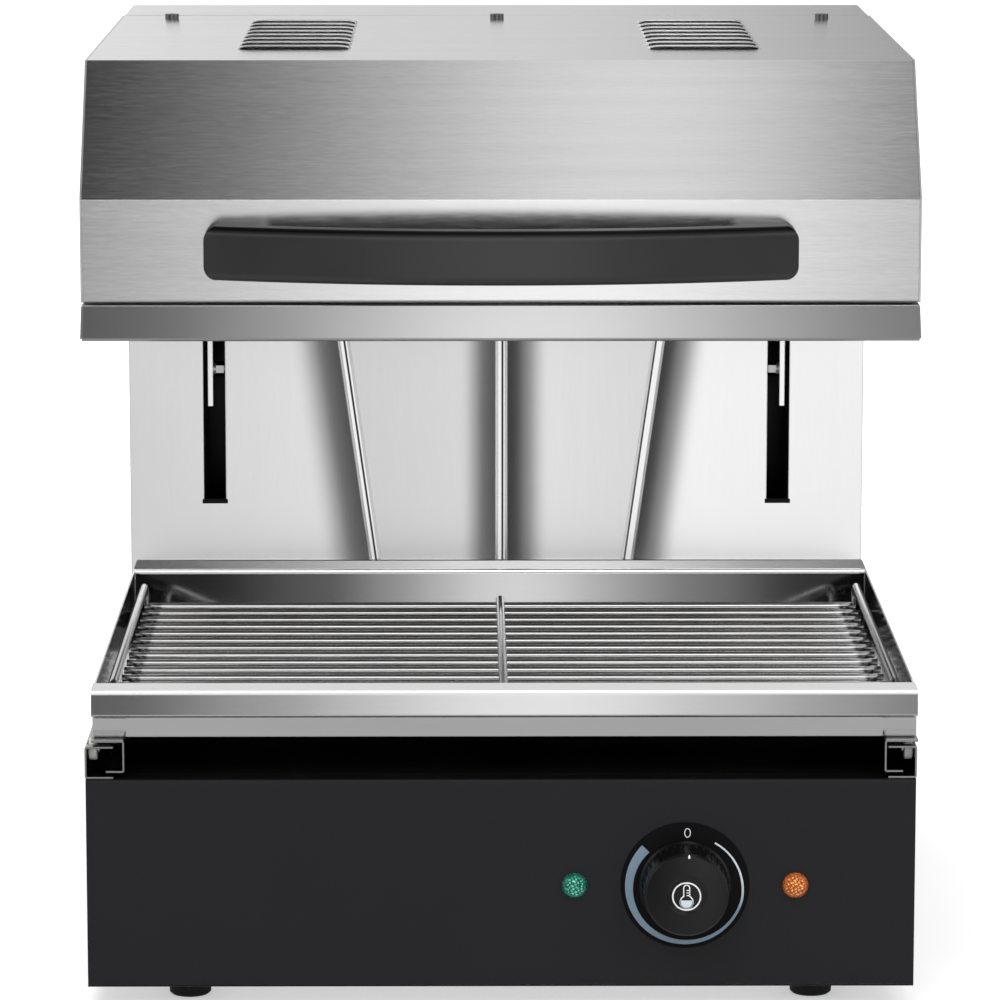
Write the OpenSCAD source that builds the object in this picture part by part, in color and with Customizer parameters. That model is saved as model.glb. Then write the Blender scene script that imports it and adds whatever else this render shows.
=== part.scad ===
// Electric rise-and-fall salamander grill: a heated hood that a counterweight balances
// on a rear column, over a wire grid in a sliding drip tray.
// X runs to the right, Y to the rear and Z up. The origin lies on the worktop, under
// the middle of the whole grill. A place called "depth" counts rearwards from the fascia.

/* [Cabinet] */
// Width of the cabinet and of the lift column
cabinet_w = 450; // [400:5:560]
// Height of the cabinet between its feet and the tray's rails
cabinet_h = 115.5; // [104:0.5:150]
// Depth of the cabinet in front of the column
cabinet_d = 405; // [380:1:440]
// Height of the column's top above the worktop
grill_h = 510.3; // [490:0.1:540]
// Thickness of the stainless steel sheet
sheet = 1; // [0.8:0.1:1.2]
// Thickness of the black front and deck sheets
black_sheet = 1.2; // [1:0.1:1.5]
// Width of the folded edges that join the sheets
flange = 12; // [10:0.5:14]
// Depth of the black fold on top of the fascia
fascia_fold = 14; // [10:1:18]

/* [Feet] */
// Height of a rubber foot
foot_h = 12; // [10:1:20]
// Diameter of a rubber foot
foot_d = 24; // [20:1:30]
// Distance from the cabinet's side to a foot's axis
foot_side = 54; // [30:1:80]
// Distance from the cabinet's front or rear to a foot's axis
foot_front = 33; // [25:1:60]
// Diameter of a foot's screw
foot_screw_d = 5; // [4:0.5:6]

/* [Column] */
// Depth of the lift column
column_d = 85; // [80:1:100]
// Distance from the cabinet's side to an arm slot
slot_side = 52; // [47:1:65]
// Width of an arm slot
slot_w = 13.5; // [12:0.5:16]
// How far the arm slots run on below the lowered arms
slot_spare = 34.5; // [22:0.5:46]
// Width of a stiffening rib in the column's front
rib_w = 7; // [5:0.5:9]
// How far a rib stands proud
rib_h = 1.2; // [0.8:0.1:1.4]
// Distance from the middle rib to the outer ribs at the foot of the column
rib_x = 77.5; // [50:0.5:90]
// How far the outer ribs spread for each millimetre of height
rib_spread = 0.14; // [0.05:0.005:0.16]
// How far the middle rib stands to the right of the cabinet's middle
rib_side = 3; // [0:0.5:5]

/* [Hood] */
// How far the hood reaches past the cabinet on each side
hood_over = 1; // [0:0.5:2]
// Depth of the hood's upright face behind the fascia
hood_face = 25; // [15:1:40]
// Height of the hood from the lower edge of its face to its roof
hood_h = 125.8; // [118:0.1:132]
// Height of the upright face
hood_face_h = 55.5; // [50:0.5:62]
// How far back the sloped face runs
hood_slope = 55; // [40:1:70]
// Gap between the hood and the column
hood_gap = 2; // [1.8:0.1:3]
// Height of the flared skirt
skirt_h = 19.9; // [16:0.1:24]
// How far the skirt flares out to the front
skirt_flare = 12; // [6:1:16]
// Height of the hood's vertical travel
hood_travel = 150; // [100:1:160]

/* [Louvres] */
// Length of a roof louvre
louvre_l = 63; // [50:1:80]
// Height of a louvre above its sheet
louvre_h = 2.2; // [2:0.1:3]
// Depth of a louvre from mouth to root
louvre_d = 12; // [8:0.5:16]
// Distance from one roof louvre to the next
louvre_pitch = 26.7; // [20:0.1:28]
// Roof louvres in each group
louvre_rows = 8; // [4:1:8]
// Distance from the middle to the middle of a group
louvre_x = 114.5; // [90:0.5:150]
// Depth of the front louvre behind the fascia
louvre_front = 153; // [140:1:165]

/* [Handle] */
// Length of the hood's handle
handle_l = 317; // [260:1:330]
// Height of the handle
handle_h = 29; // [26:0.5:34]
// Thickness of the handle's grip
grip_t = 19; // [16:1:20]
// How far the handle stands out from the hood
handle_reach = 52; // [48:1:60]
// How far the grip bows forward between its ends
handle_bow = 26.5; // [20:0.5:28]
// Width of each mounting block at the handle's ends
handle_block = 36.5; // [28:0.5:40]
// Radius of the handle's corners as seen from the front
handle_corner = 8; // [5:0.5:12]

/* [Tray] */
// How far each side of the tray stands in from the cabinet's
tray_in = 1.5; // [1:0.1:3]
// How far the lip along the tray's front stands out past each side of the tray
lip_over = 0.5; // [0.3:0.1:1]
// Height of the tray
tray_h = 26.7; // [24:0.1:34]
// Height of the lip's face
lip_h = 14.7; // [12:0.1:18]
// Depth of the lip's top
lip_d = 22; // [16:1:26]
// How far the tray hangs to the right of the middle, in the side play of its rails
tray_side = 2; // [0:0.1:3]
// Depth of the rim behind the tray's hollow
rim_d = 33; // [24:1:40]
// How far the tray pulls out
tray_travel = 240; // [160:5:250]

/* [Wire grid] */
// Diameter of a rod of the grid
rod_d = 4; // [3:0.1:5]
// Diameter of the grid's frame and handle bars
bar_d = 5; // [4:0.1:6]
// Rods in the grid
rod_count = 13; // [8:1:15]
// Distance from the grid's front bar to its nearest rod
rod_room = 33.7; // [20:0.1:40]
// Height of the grid's side handles above its rods
grid_handle_h = 12.9; // [10:0.1:16]

/* [Tray rails] */
// Height of a rail
rail_h = 17.7; // [16:0.1:20]
// Width of a fixed rail's flanges
rail_w = 15.5; // [14:0.1:18]
// Thickness of the rails' steel
rail_t = 1; // [0.8:0.1:1.2]
// Length of the rails
rail_l = 370; // [330:1:378]

/* [Controls] */
// Distance from the cabinet's right side to the knob
knob_side = 125; // [90:1:150]
// Height of the knob and the lamps above the worktop
control_z = 68.5; // [60:0.5:76]
// Distance from the knob to each lamp
lamp_gap = 60; // [50:1:70]
// Diameter of the knob's skirt
knob_d = 50; // [40:1:56]
// How far the knob stands out
knob_out = 23.6; // [18:0.1:28]
// Diameter of the printed dial plate
dial_d = 70; // [60:1:80]
// Diameter of a lamp's lens
lens_d = 14; // [10:0.5:18]
// Diameter of the thermostat's spindle
spindle_d = 6; // [5:0.5:8]

/* [Lift] */
// Radius of the rope's path round a pulley
pulley_r = 20; // [18:0.5:22]
// Distance from the middle to each pulley
pulley_x = 60; // [40:1:80]
// Diameter of the wire rope
rope_d = 3; // [2:0.5:4]
// Diameter of the pulleys' shaft
shaft_d = 8; // [6:0.5:10]
// Diameter of a guide roller
guide_roller_d = 22; // [18:0.5:24]
// Diameter of a guide roller's bolt
guide_bolt_d = 5; // [4:0.5:6]
// Thickness of a lift arm
arm_t = 3.2; // [2.5:0.1:4]
// Width of the counterweight
weight_w = 300; // [220:1:320]
// Thickness of the counterweight
weight_t = 20; // [14:0.5:22]
// Height of the counterweight
weight_h = 220; // [120:1:230]

/* [Cord entry] */
// Diameter of the gland's bore for the supply cord
gland_bore = 8.4; // [7:0.1:10]
// How far the gland stands out behind the cabinet
gland_out = 12; // [10:0.5:16]

/* [Hidden] */
$fn = 48;

// Clearances
run_fit = 0.05;      // radial, of a pin in its bore
near = 0.3;          // between curved faces that all but touch
screw_fit = 0.1;     // radial, of a screw in its hole
eps = 0.01;          // overlap that makes a cut clean

// Whole grill
grill_d = cabinet_d + column_d;
front_reach = handle_reach - hood_face;
front_y = -(grill_d + gland_out - front_reach) / 2;
deck_z = foot_h + cabinet_h;
pan_top = foot_h + sheet;
half_w = cabinet_w / 2;
side_in = half_w - sheet;
knob_x = half_w - knob_side;

// Tray and rails
rail_out = half_w + 0.5;
tray_w = cabinet_w - 2 * tray_in;
lip_w = tray_w + 2 * lip_over;
rail_gap = 3.3;                       // the sliding rail lies this much higher
tray_z = deck_z + rail_h + rail_gap;  // underside of the tray
tray_front = 6.5;
tray_back = cabinet_d - 2.5;
tray_top = tray_z + tray_h;
band_set = 3;                         // the tray's front stands this far behind its lip
rail_front = 2;
slide_web = rail_out - 19.5;
slide_top_w = 18;
slide_low_w = 10;
roller_w = 4.5;
front_roller_r = 6;
rear_roller_r = (rail_h - 2 * rail_t) / 2 - near;
rail_pin_r = 1.75;
rail_bend_r = rail_t + 0.3;
front_roller_at = rail_front + 14;
rear_roller_at = rail_front + rail_l - 14;
front_roller_z = tray_z - rail_t - near - front_roller_r;
rear_roller_z = deck_z + rail_h / 2;
front_roller_x = rail_out - rail_t - 0.6 - roller_w;   // inner faces of the rollers
rear_roller_x = rail_out - rail_t - 0.4 - tray_side - roller_w;

// Column and lift
hood_bottom = grill_h - hood_h;       // lower edge of the hood's upright face
arm_rise = 12;                        // of the arms above that edge where they leave the hood
slot_x = half_w - slot_side;
slot_bottom = hood_bottom + arm_rise - hood_travel - slot_spare;
column_face = cabinet_d;              // front of the column's front sheet
column_in = cabinet_d + sheet;
rear_face = grill_d;
lift_d = cabinet_d + 25;              // depth of the guide rollers' axes
shaft_at = cabinet_d + 42;            // depth of the pulleys' shaft
shaft_z = grill_h - 32;
arm_out = slot_x + 2.5 + arm_t / 2;   // outer face of an arm
arm_in = arm_out - arm_t;
guide_w = 8;
guide_x = arm_out + 1.2;              // inner end of a guide roller
channel_t = 1.5;
channel_web = guide_x + guide_w + 1.7;
upper_roller_z = grill_h - 40;
lower_roller_z = hood_bottom - 93.8;
arm_foot_z = lower_roller_z - 20.5;
arm_back = lift_d + 24;
arm_top = grill_h - 20;
bar_size = 20;
bar_wall = 1.5;
bar_z = hood_bottom + 36;
rope_front_at = shaft_at - pulley_r;
rope_rear_at = shaft_at + pulley_r;
rope_r = rope_d / 2;
eye_h = 10;
weight_top = shaft_z - pulley_r - 3.5 - hood_travel - eye_h;

// Hood
hood_half = half_w + hood_over;
hood_in = hood_half - sheet;
hood_knee = hood_bottom + hood_face_h;
hood_rear = cabinet_d - hood_gap;
skirt_z = hood_bottom - skirt_h;
skirt_gap = 1.4;
joggle = 5;
hem_fold = 5;
roof_under = grill_h - sheet;
reflector_h = 18.5;
reflector_front = hood_face + 13;
reflector_back = hood_rear - 11;
element_d = 8;
element_pitch = 36;
element_leg = hood_in - 35;           // reach of an element's hairpin bend
element_end = hood_in - 75;           // where its two ends turn up
support_x = element_leg - 80;         // of the outer strips that carry the elements
element_z = hood_bottom + 9.5;
element_first = hood_face + 47;
element_step = 80;
element_count = 4;
insulation_h = 25;
insulation_low = hood_bottom + sheet + reflector_h + sheet;
insulation_top = insulation_low + insulation_h;
back_flange = 34;
screw_r = 2;
head_r = 4.1;
roof_screw_x = half_w - 30;
roof_screw_at = hood_rear - 27;
bend_r = sheet + 0.25;                // outside radius of a fold
lip_bend_r = 2.4;                     // of the tray's lip, where hands take hold
black_bend_r = black_sheet + 0.3;

// Handle
handle_z = hood_bottom + 29.5;
grip_mid = hood_face - handle_reach + grip_t / 2;
grip_edge = 5;                        // radius of the grip's long edges
bow_x = handle_l / 2;
bow_r = (bow_x * bow_x + handle_bow * handle_bow) / (2 * handle_bow);
block_x = (handle_l - handle_block) / 2;
handle_screw_r = 2.5;

// Grid
grid_floor = tray_z + sheet + near;
weld = 0.4;                           // how far crossing wires sink into each other
rod_z = grid_floor + bar_d + rod_d / 2 - weld;
grid_half = tray_w / 2 - 8;
grid_rear = cabinet_d - 56;
grid_front = tray_front + lip_d + 6;
rod_pitch = (grid_rear - grid_front - rod_room) / rod_count;

// Gland
gland_x = -half_w + 75;
gland_z = foot_h + 40;
gland_r = 8;

// ---- Helpers ----

// Everything is drawn with depth 0 at the fascia and then moved here.
module stand() translate([0, front_y, 0]) children();

// Extrudes a profile drawn in depth and height along X, centred on the middle.
module across(length) rotate([90, 0, 90]) linear_extrude(height = length, center = true) children();

// Extrudes a profile drawn in X and height rearwards from one depth to another.
module rearward(from, to) translate([0, to, 0]) rotate([90, 0, 0])
    linear_extrude(height = to - from) children();

// A round bar along X between two places.
module bar_x(r, from, to) translate([from, 0, 0]) rotate([0, 90, 0]) cylinder(r = r, h = to - from);

// A round bar along Y between two depths.
module bar_y(r, from, to) translate([0, to, 0]) rotate([90, 0, 0]) cylinder(r = r, h = to - from);

// A box given by its lowest and highest corners.
module block(low, high) translate(low) cube(high - low);

// The same piece on the right and, mirrored, on the left.
module both_sides() {
    children();
    mirror([1, 0, 0]) children();
}

// The piece as drawn on the right side, or its mirror image on the left.
module on_side(right) {
    if (right) children();
    else mirror([1, 0, 0]) children();
}

function unit(v) = v / norm(v);
function left_of(a, b) = let (u = unit(b - a)) [-u[1], u[0]];
function corner_turn(path, i) =
    i == 0 ? left_of(path[0], path[1]) :
    i == len(path) - 1 ? left_of(path[i - 1], path[i]) :
    let (n = left_of(path[i - 1], path[i]), m = left_of(path[i], path[i + 1])) (n + m) / (1 + n * m);

// Outline of a strip of sheet that follows a path and lies on its left side.
function strip(path, t) = concat(path,
    [for (i = [len(path) - 1 : -1 : 0]) path[i] + t * corner_turn(path, i)]);

// A path whose inner corners are rounded in a few steps, to one radius or to a radius for each corner.
bend_steps = 3;
function corner_arc(a, p, c, r) =
    let (d = unit(a - p), e = unit(c - p), half = acos(d * e) / 2,
        centre = p + unit(d + e) * r / sin(half),
        s = p + d * r / tan(half) - centre, f = p + e * r / tan(half) - centre)
    [for (k = [0 : bend_steps]) let (w = k / bend_steps, g = 180 - 2 * half)
        centre + (sin((1 - w) * g) * s + sin(w * g) * f) / sin(g)];
function rounded(path, r) = [for (i = [0 : len(path) - 1])
    each (i == 0 || i == len(path) - 1 ? [path[i]] :
        corner_arc(path[i - 1], path[i], path[i + 1], is_list(r) ? r[i] : r))];

// A folded sheet drawn in depth and height, as long as the given width.
module folded(path, t, r, length) across(length) polygon(strip(rounded(path, r), t));

// A pan-head screw along -Z with its head on top of z = 0.
module pan_screw(shank_r, cap_r, cap_h, length) {
    cylinder(r = cap_r, h = cap_h);
    translate([0, 0, -length]) cylinder(r = shank_r, h = length + eps);
}

// Outline of a louvre's mouth in X and height, with its ends eased off.
function mouth(l, h, ease) = concat([[-l / 2, -sheet]],
    [for (a = [0 : 30 : 90]) [-l / 2 + ease * (1 - cos(a)), h * sin(a)]],
    [for (a = [90 : -30 : 0]) [l / 2 - ease * (1 - cos(a)), h * sin(a)]], [[l / 2, -sheet]]);
// A pressed louvre on a sheet whose outer face is z = 0, with its mouth towards -Y.
module louvre_lens(l, h, d) intersection() {
    rearward(0, d) polygon(mouth(l, h, 4 * h));
    across(l) polygon([[0, -sheet], [0, h], [0.2 * d, h], [d, 0], [d, -sheet]]);
}
// What is hollow under it.
module louvre_hole(l, h, d) translate([0, -eps, 0]) louvre_lens(l - 2 * sheet, h - 0.8 * sheet, d - sheet);

// ---- Cabinet ----

module foot_places() for (x = [-1, 1], y = [foot_front, rear_face - foot_front])
    translate([x * (half_w - foot_side), y, 0]) children();

vent_w = 5;
pan_slot_l = 60;
pan_slot_pitch = 20;
pan_slot_front = 90;
module base_pan() color("lightgray") stand() difference() {
    union() {
        block([-half_w, 0, foot_h], [half_w, rear_face, pan_top]);
        both_sides() block([side_in - sheet, 3, foot_h], [side_in, rear_face - 3, foot_h + flange]);
        block([-half_w + flange + 3, black_sheet, foot_h],
            [half_w - flange - 3, black_sheet + sheet, foot_h + flange]);
        block([-half_w + flange + 3, rear_face - 2 * sheet, foot_h],
            [half_w - flange - 3, rear_face - sheet, foot_h + flange]);
    }
    foot_places() translate([0, 0, foot_h - 1]) cylinder(r = foot_screw_d / 2 + screw_fit, h = sheet + 2);
    // Cooling slots under the controls and under the column
    for (k = [0 : 10], y = [pan_slot_front, cabinet_d - 2 * pan_slot_l])
        translate([knob_x + 40 - k * pan_slot_pitch, y, foot_h - 1])
            cooling_slot(vent_w, pan_slot_l, sheet + 2);
}

// An upright slot with round ends, along Y.
module cooling_slot(w, l, h) {
    translate([-w / 2, w / 2, 0]) cube([w, l - w, h]);
    for (y = [w / 2, l - w / 2]) translate([0, y, 0]) cylinder(r = w / 2, h = h);
}

module fascia() color([0.12, 0.12, 0.13]) stand() difference() {
    folded([[0, pan_top], [0, deck_z], [fascia_fold, deck_z]], -black_sheet, black_bend_r, cabinet_w);
    controls_at(0) bar_y(spindle_d / 2 + 1, -1, black_sheet + 1);
    for (s = [-1, 1]) controls_at(0, s) bar_y(lens_d / 2 - 2 + screw_fit, -1, black_sheet + 1);
}

module deck() color([0.1, 0.1, 0.1]) stand() difference() {
    union() {
        block([-half_w, fascia_fold + near, deck_z - black_sheet], [half_w, cabinet_d - near, deck_z]);
        block([-half_w + flange + 3, fascia_fold + near, deck_z - flange],
            [half_w - flange - 3, fascia_fold + near + black_sheet, deck_z]);
        // A tongue runs back under the column's front sheet
        block([sheet - side_in + sheet, cabinet_d - 10, deck_z - black_sheet],
            [side_in - 2 * sheet, column_in + 2, deck_z]);
    }
    both_sides() rail_screw_places() translate([0, 0, -2]) cylinder(r = screw_r - 0.5 + screw_fit, h = 4);
}

side_slot_count = 7;
side_slot_l = 44;
side_slot_pitch = 14;
side_slot_first = 120;
module side_panel(right) color("silver") stand() on_side(right) difference() {
    union() {
        translate([side_in, 0, 0]) rotate([90, 0, 90]) linear_extrude(height = sheet)
            polygon([[black_sheet, pan_top], [rear_face - sheet, pan_top],
                [rear_face - sheet, roof_under], [column_in, roof_under],
                [column_in, deck_z - black_sheet], [black_sheet, deck_z - black_sheet]]);
        // Folded edges: under the deck, behind the fascia, before the rear cover, under the top
        block([half_w - flange, black_sheet, deck_z - black_sheet - sheet],
            [half_w, cabinet_d - near, deck_z - black_sheet]);
        block([half_w - flange, black_sheet, pan_top], [half_w, black_sheet + sheet, deck_z - black_sheet]);
        block([half_w - flange, rear_face - 2 * sheet, pan_top], [half_w, rear_face - sheet, roof_under]);
        block([half_w - flange, column_in + flange + 2, roof_under - sheet],
            [half_w, rear_face - sheet, roof_under]);
    }
    cover_screw_places() bar_y(screw_r - 0.25 + screw_fit, rear_face - 4, rear_face);
    // Cooling slots at the level of the controls
    for (k = [0 : side_slot_count - 1])
        translate([half_w + 1, side_slot_first + k * side_slot_pitch, control_z - side_slot_l / 2])
            rotate([90, 0, -90]) cooling_slot(vent_w, side_slot_l, sheet + 2);
    rail_screw_places() translate([0, 0, -5]) cylinder(r = screw_r - 0.5 + screw_fit, h = 4);
}

// ---- Column ----

// A rib's section, with its crown narrower than its foot.
module rib_profile(w, h) polygon([[-w / 2, -eps], [-w / 2 + h, h], [w / 2 - h, h], [w / 2, -eps]]);
module rib(lean, w, h, length) rotate([0, lean, 0]) rotate([0, 0, 180]) linear_extrude(height = length)
    rib_profile(w, h);
module ribs(w, h) {
    length = grill_h - tray_top - 12;
    translate([rib_side, column_face, tray_top]) {
        rib(0, w, h, length);
        both_sides() translate([rib_x, 0, 0]) rib(atan(rib_spread), w, h, length);
    }
}

module column_front() color("gainsboro") stand() difference() {
    union() {
        block([-half_w, column_face, deck_z], [half_w, column_in, roof_under]);
        both_sides() block([side_in - sheet, column_face, deck_z],
            [side_in, column_in + flange, roof_under - sheet]);
        ribs(rib_w, rib_h);
    }
    // The ribs are pressed, so they are hollow behind
    translate([0, sheet * 0.8, 0]) ribs(rib_w - sheet, rib_h);
    both_sides() block([slot_x - slot_w / 2, column_face - 2, slot_bottom],
        [slot_x + slot_w / 2, column_in + 1, grill_h - 12]);
}

module column_top() color("lightgray") stand() {
    block([-half_w, column_face, roof_under], [half_w, rear_face, grill_h]);
    block([-half_w, rear_face - sheet, grill_h - flange], [half_w, rear_face, grill_h]);
}

cover_rows = 4;
cover_first_z = pan_top + 20;
cover_last_z = grill_h - 40;
module cover_screw_places() for (k = [0 : cover_rows - 1])
    translate([half_w - flange / 2 - sheet / 2, 0,
        cover_first_z + k * (cover_last_z - cover_first_z) / (cover_rows - 1)]) children();

rear_louvre_rows = 7;
rear_louvre_l = 90;
rear_louvre_x = half_w - 130;
rear_louvre_pitch = 18;
rear_louvre_lows = [82, grill_h - 168.3];
// Their mouths face down, so that no water runs in.
module rear_louvre_places() for (s = [-1, 1], k = [0 : rear_louvre_rows - 1], low = rear_louvre_lows)
    translate([s * rear_louvre_x, rear_face, low + k * rear_louvre_pitch])
        rotate([-90, 0, 0]) rotate(180) children();

module rear_cover() color("silver") stand() difference() {
    union() {
        block([-half_w, rear_face - sheet, pan_top], [half_w, rear_face, grill_h - flange - near]);
        rear_louvre_places() louvre_lens(rear_louvre_l, louvre_h, louvre_d);
    }
    rear_louvre_places() louvre_hole(rear_louvre_l, louvre_h, louvre_d);
    both_sides() cover_screw_places() bar_y(screw_r - 0.25 + screw_fit, rear_face - 3, rear_face + 1);
    translate([gland_x, 0, gland_z]) bar_y(gland_r + screw_fit, rear_face - 3, rear_face + 1);
}

module slot_buffers() color("black") stand() both_sides() difference() {
    block([slot_x - slot_w / 2 - 1, column_face - rib_h, slot_bottom - 1.5],
        [slot_x + slot_w / 2 + 1, column_in + 2, slot_bottom + 1]);
    // The slot's three edges sit in the buffer's groove
    block([slot_x - slot_w, column_face, slot_bottom - 4], [slot_x + slot_w, column_in, slot_bottom]);
    for (s = [-1, 1]) translate([slot_x + s * 3 * slot_w / 4, 0, slot_bottom])
        block([-slot_w / 4, column_face, -4], [slot_w / 4, column_in, 4]);
}

module feet() color([0.08, 0.08, 0.08]) stand() foot_places() difference() {
    rotate_extrude() polygon([[0, 0], [foot_d / 2 - 2, 0], [foot_d / 2 - 0.6, 1.2],
        [foot_d / 2, foot_h - 2], [foot_d / 2, foot_h], [0, foot_h]]);
    translate([0, 0, -1]) cylinder(r = foot_screw_d / 2 + screw_fit, h = foot_h + 2);
    translate([0, 0, -1]) cylinder(r = foot_screw_d + 0.5, h = foot_h / 2 + 1);
}

module foot_screws() color("gray") stand() foot_places() {
    translate([0, 0, foot_h / 2]) mirror([0, 0, 1])
        pan_screw(foot_screw_d / 2, foot_screw_d, foot_screw_d / 2, foot_h / 2 + 8);
    difference() {
        translate([0, 0, pan_top]) cylinder(r = foot_screw_d * 0.9, h = foot_screw_d * 0.8, $fn = 6);
        translate([0, 0, foot_h]) cylinder(r = foot_screw_d / 2 - eps, h = 10);
    }
}

// ---- Lift ----

cleat_half = 10;
module guide_channel(right) color("lightslategray") stand() on_side(right) {
    gap = guide_roller_d / 2 + near;
    low = lower_roller_z - hood_travel - 16;
    high = grill_h - 14;
    translate([0, 0, low]) linear_extrude(height = high - low) polygon([
        [guide_x + 0.3, lift_d - gap - channel_t], [channel_web + channel_t, lift_d - gap - channel_t],
        [channel_web + channel_t, lift_d + gap + channel_t], [guide_x + 0.3, lift_d + gap + channel_t],
        [guide_x + 0.3, lift_d + gap], [channel_web, lift_d + gap],
        [channel_web, lift_d - gap], [guide_x + 0.3, lift_d - gap]]);
    // Cleats that carry the channel on the side panel
    for (z = [low + 8, (low + high) / 2, high - 8 - channel_t]) {
        block([channel_web, lift_d - cleat_half, z], [side_in, lift_d + cleat_half, z + channel_t]);
        block([side_in - channel_t, lift_d - cleat_half, z - flange + channel_t],
            [side_in, lift_d + cleat_half, z + channel_t]);
    }
}

// Each pulley hangs in a fork that is welded under the column's top.
bracket_half = 10;
bracket_t = 2;
bracket_r = 12;
module pulley_places() for (s = [-1, 1]) translate([s * pulley_x, shaft_at, shaft_z]) children();
module pulley_brackets() color("lightslategray") stand() pulley_places() difference() {
    top = roof_under - shaft_z;
    union() {
        block([-bracket_half, -2 * bracket_r, top - bracket_t], [bracket_half, 2 * bracket_r, top]);
        for (x = [-bracket_half, bracket_half - bracket_t]) translate([x, 0, 0]) {
            block([0, -bracket_r, 0], [bracket_t, bracket_r, top]);
            bar_x(bracket_r, 0, bracket_t);
        }
    }
    bar_x(shaft_d / 2 + run_fit, -bracket_half - 1, bracket_half + 1);
}

module pulley_shaft() color("gray") stand() translate([0, shaft_at, shaft_z]) {
    bar_x(shaft_d / 2, -pulley_x - bracket_half - 3, pulley_x + bracket_half + 3);
    both_sides() bar_x(shaft_d / 2 + 2, pulley_x + bracket_half + near, pulley_x + bracket_half + 2.5);
}

pulley_half = 6;
pulley_hub_half = 7.5;
pulley_hub_r = shaft_d / 2 + 4;
pulley_rim_r = pulley_r + 2.5;
pulley_rim_t = 1.6;
pulley_groove_r = pulley_r - rope_r - near;
pulley_groove_half = rope_r + near;
// Right half of a pulley's section, from the hub's bore out to the groove.
pulley_side = [[shaft_d / 2, pulley_hub_half], [pulley_hub_r, pulley_hub_half], [pulley_hub_r, pulley_half],
    [pulley_rim_r, pulley_half], [pulley_rim_r, pulley_half - pulley_rim_t],
    [pulley_groove_r, pulley_groove_half]];
module pulleys() color("dimgray") stand() pulley_places() rotate([0, 90, 0]) difference() {
    rotate_extrude() {
        polygon(concat(pulley_side, [[pulley_groove_r, 0], [shaft_d / 2, 0]]));
        mirror([0, 1]) polygon(concat(pulley_side, [[pulley_groove_r, 0], [shaft_d / 2, 0]]));
    }
    for (a = [0 : 60 : 300]) rotate([0, 0, a]) translate([(pulley_r + shaft_d / 2) / 2, 0, -pulley_half - 1])
        cylinder(r = 3, h = 2 * pulley_half + 2);
}

module rope_bends() color("darkgray") stand() pulley_places() rotate([0, 90, 0]) rotate([0, 0, 90])
    rotate_extrude(angle = 180) translate([pulley_r, 0]) circle(r = rope_r);

module ropes_front() color("darkgray") stand() for (s = [-1, 1])
    translate([s * pulley_x, rope_front_at, bar_z + bar_size])
        cylinder(r = rope_r, h = shaft_z - bar_z - bar_size);

module ropes_rear() color("darkgray") stand() for (s = [-1, 1])
    translate([s * pulley_x, rope_rear_at, weight_top + eye_h])
        cylinder(r = rope_r, h = shaft_z - weight_top - eye_h);

eye_r = 3;
module eye_places() for (s = [-1, 1]) translate([s * pulley_x, rope_rear_at, weight_top]) children();
module counterweight() color([0.2, 0.2, 0.2]) stand() difference() {
    block([-weight_w / 2, rope_rear_at - weight_t / 2, weight_top - weight_h],
        [weight_w / 2, rope_rear_at + weight_t / 2, weight_top]);
    eye_places() translate([0, 0, -eye_h - 2]) cylinder(r = eye_r, h = eye_h + 3);
    // A lifting slot in the casting
    block([-30, rope_rear_at - weight_t, weight_top - 40], [30, rope_rear_at + weight_t, weight_top - 20]);
}

// Threaded ends that the ropes are pressed into.
module weight_eyes() color("silver") stand() eye_places() {
    translate([0, 0, -eye_h]) cylinder(r = eye_r - run_fit, h = eye_h + eps);
    cylinder(r = eye_r + 2, h = 3);
    cylinder(r = eye_r + 0.2, h = eye_h);
}

// A flat arm runs from under the hood's roof through its slot to the guide rollers.
module arm(right) color("white") stand() on_side(right) difference() {
    roof_front = hood_face + hood_slope + 60;
    roof_back = hood_rear - back_flange - 3;
    inner_low = insulation_top + 3;
    union() {
        translate([arm_in, 0, 0]) rotate([90, 0, 90]) linear_extrude(height = arm_t) polygon([
            [column_in + 3, arm_foot_z], [arm_back, arm_foot_z], [arm_back, arm_top],
            [roof_back, arm_top], [roof_back, roof_under], [roof_front, roof_under],
            [roof_front, hood_knee + 30], [hood_rear - 80, inner_low], [hood_rear - 8, inner_low],
            [hood_rear - 8, hood_bottom + arm_rise], [column_in + 3, hood_bottom + arm_rise]]);
        // Folded edge under the roof
        block([arm_in, roof_front, roof_under - arm_t], [arm_out + flange, roof_back, roof_under]);
    }
    for (z = [lower_roller_z, upper_roller_z]) translate([0, lift_d, z])
        bar_x(guide_bolt_d / 2 + screw_fit, arm_in - 1, arm_out + 1);
}

// A square tube that joins the two arms and takes the ropes.
module carriage_bar() color("lightslategray") stand() across(2 * arm_in) difference() {
    translate([rope_front_at - bar_size / 2, bar_z]) square(bar_size);
    translate([rope_front_at - bar_size / 2 + bar_wall, bar_z + bar_wall]) square(bar_size - 2 * bar_wall);
}

module roller_bolts() color("silver") stand() both_sides() for (z = [lower_roller_z, upper_roller_z])
    translate([0, lift_d, z]) {
        bar_x(guide_bolt_d / 2, arm_in - 8.5, guide_x + guide_w + 0.6);
        bar_x(guide_bolt_d, guide_x + guide_w + near, guide_x + guide_w + 1.4);
        bar_x(guide_bolt_d * 0.75, arm_out, guide_x - near);
        bar_x(guide_bolt_d, arm_in - 1, arm_in);
        // The nut inside the arm
        translate([arm_in - 6, 0, 0]) rotate([0, 90, 0]) cylinder(r = guide_bolt_d * 0.92, h = 5, $fn = 6);
    }

// A roller of radius r and width w on a pin, with chamfered edges, from x = 0.
roller_chamfer = 0.6;
module roller(pin_r, r, w) rotate([0, 90, 0]) rotate_extrude() polygon([[pin_r + run_fit, 0],
    [r - roller_chamfer, 0], [r, roller_chamfer], [r, w - roller_chamfer], [r - roller_chamfer, w],
    [pin_r + run_fit, w]]);

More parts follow.
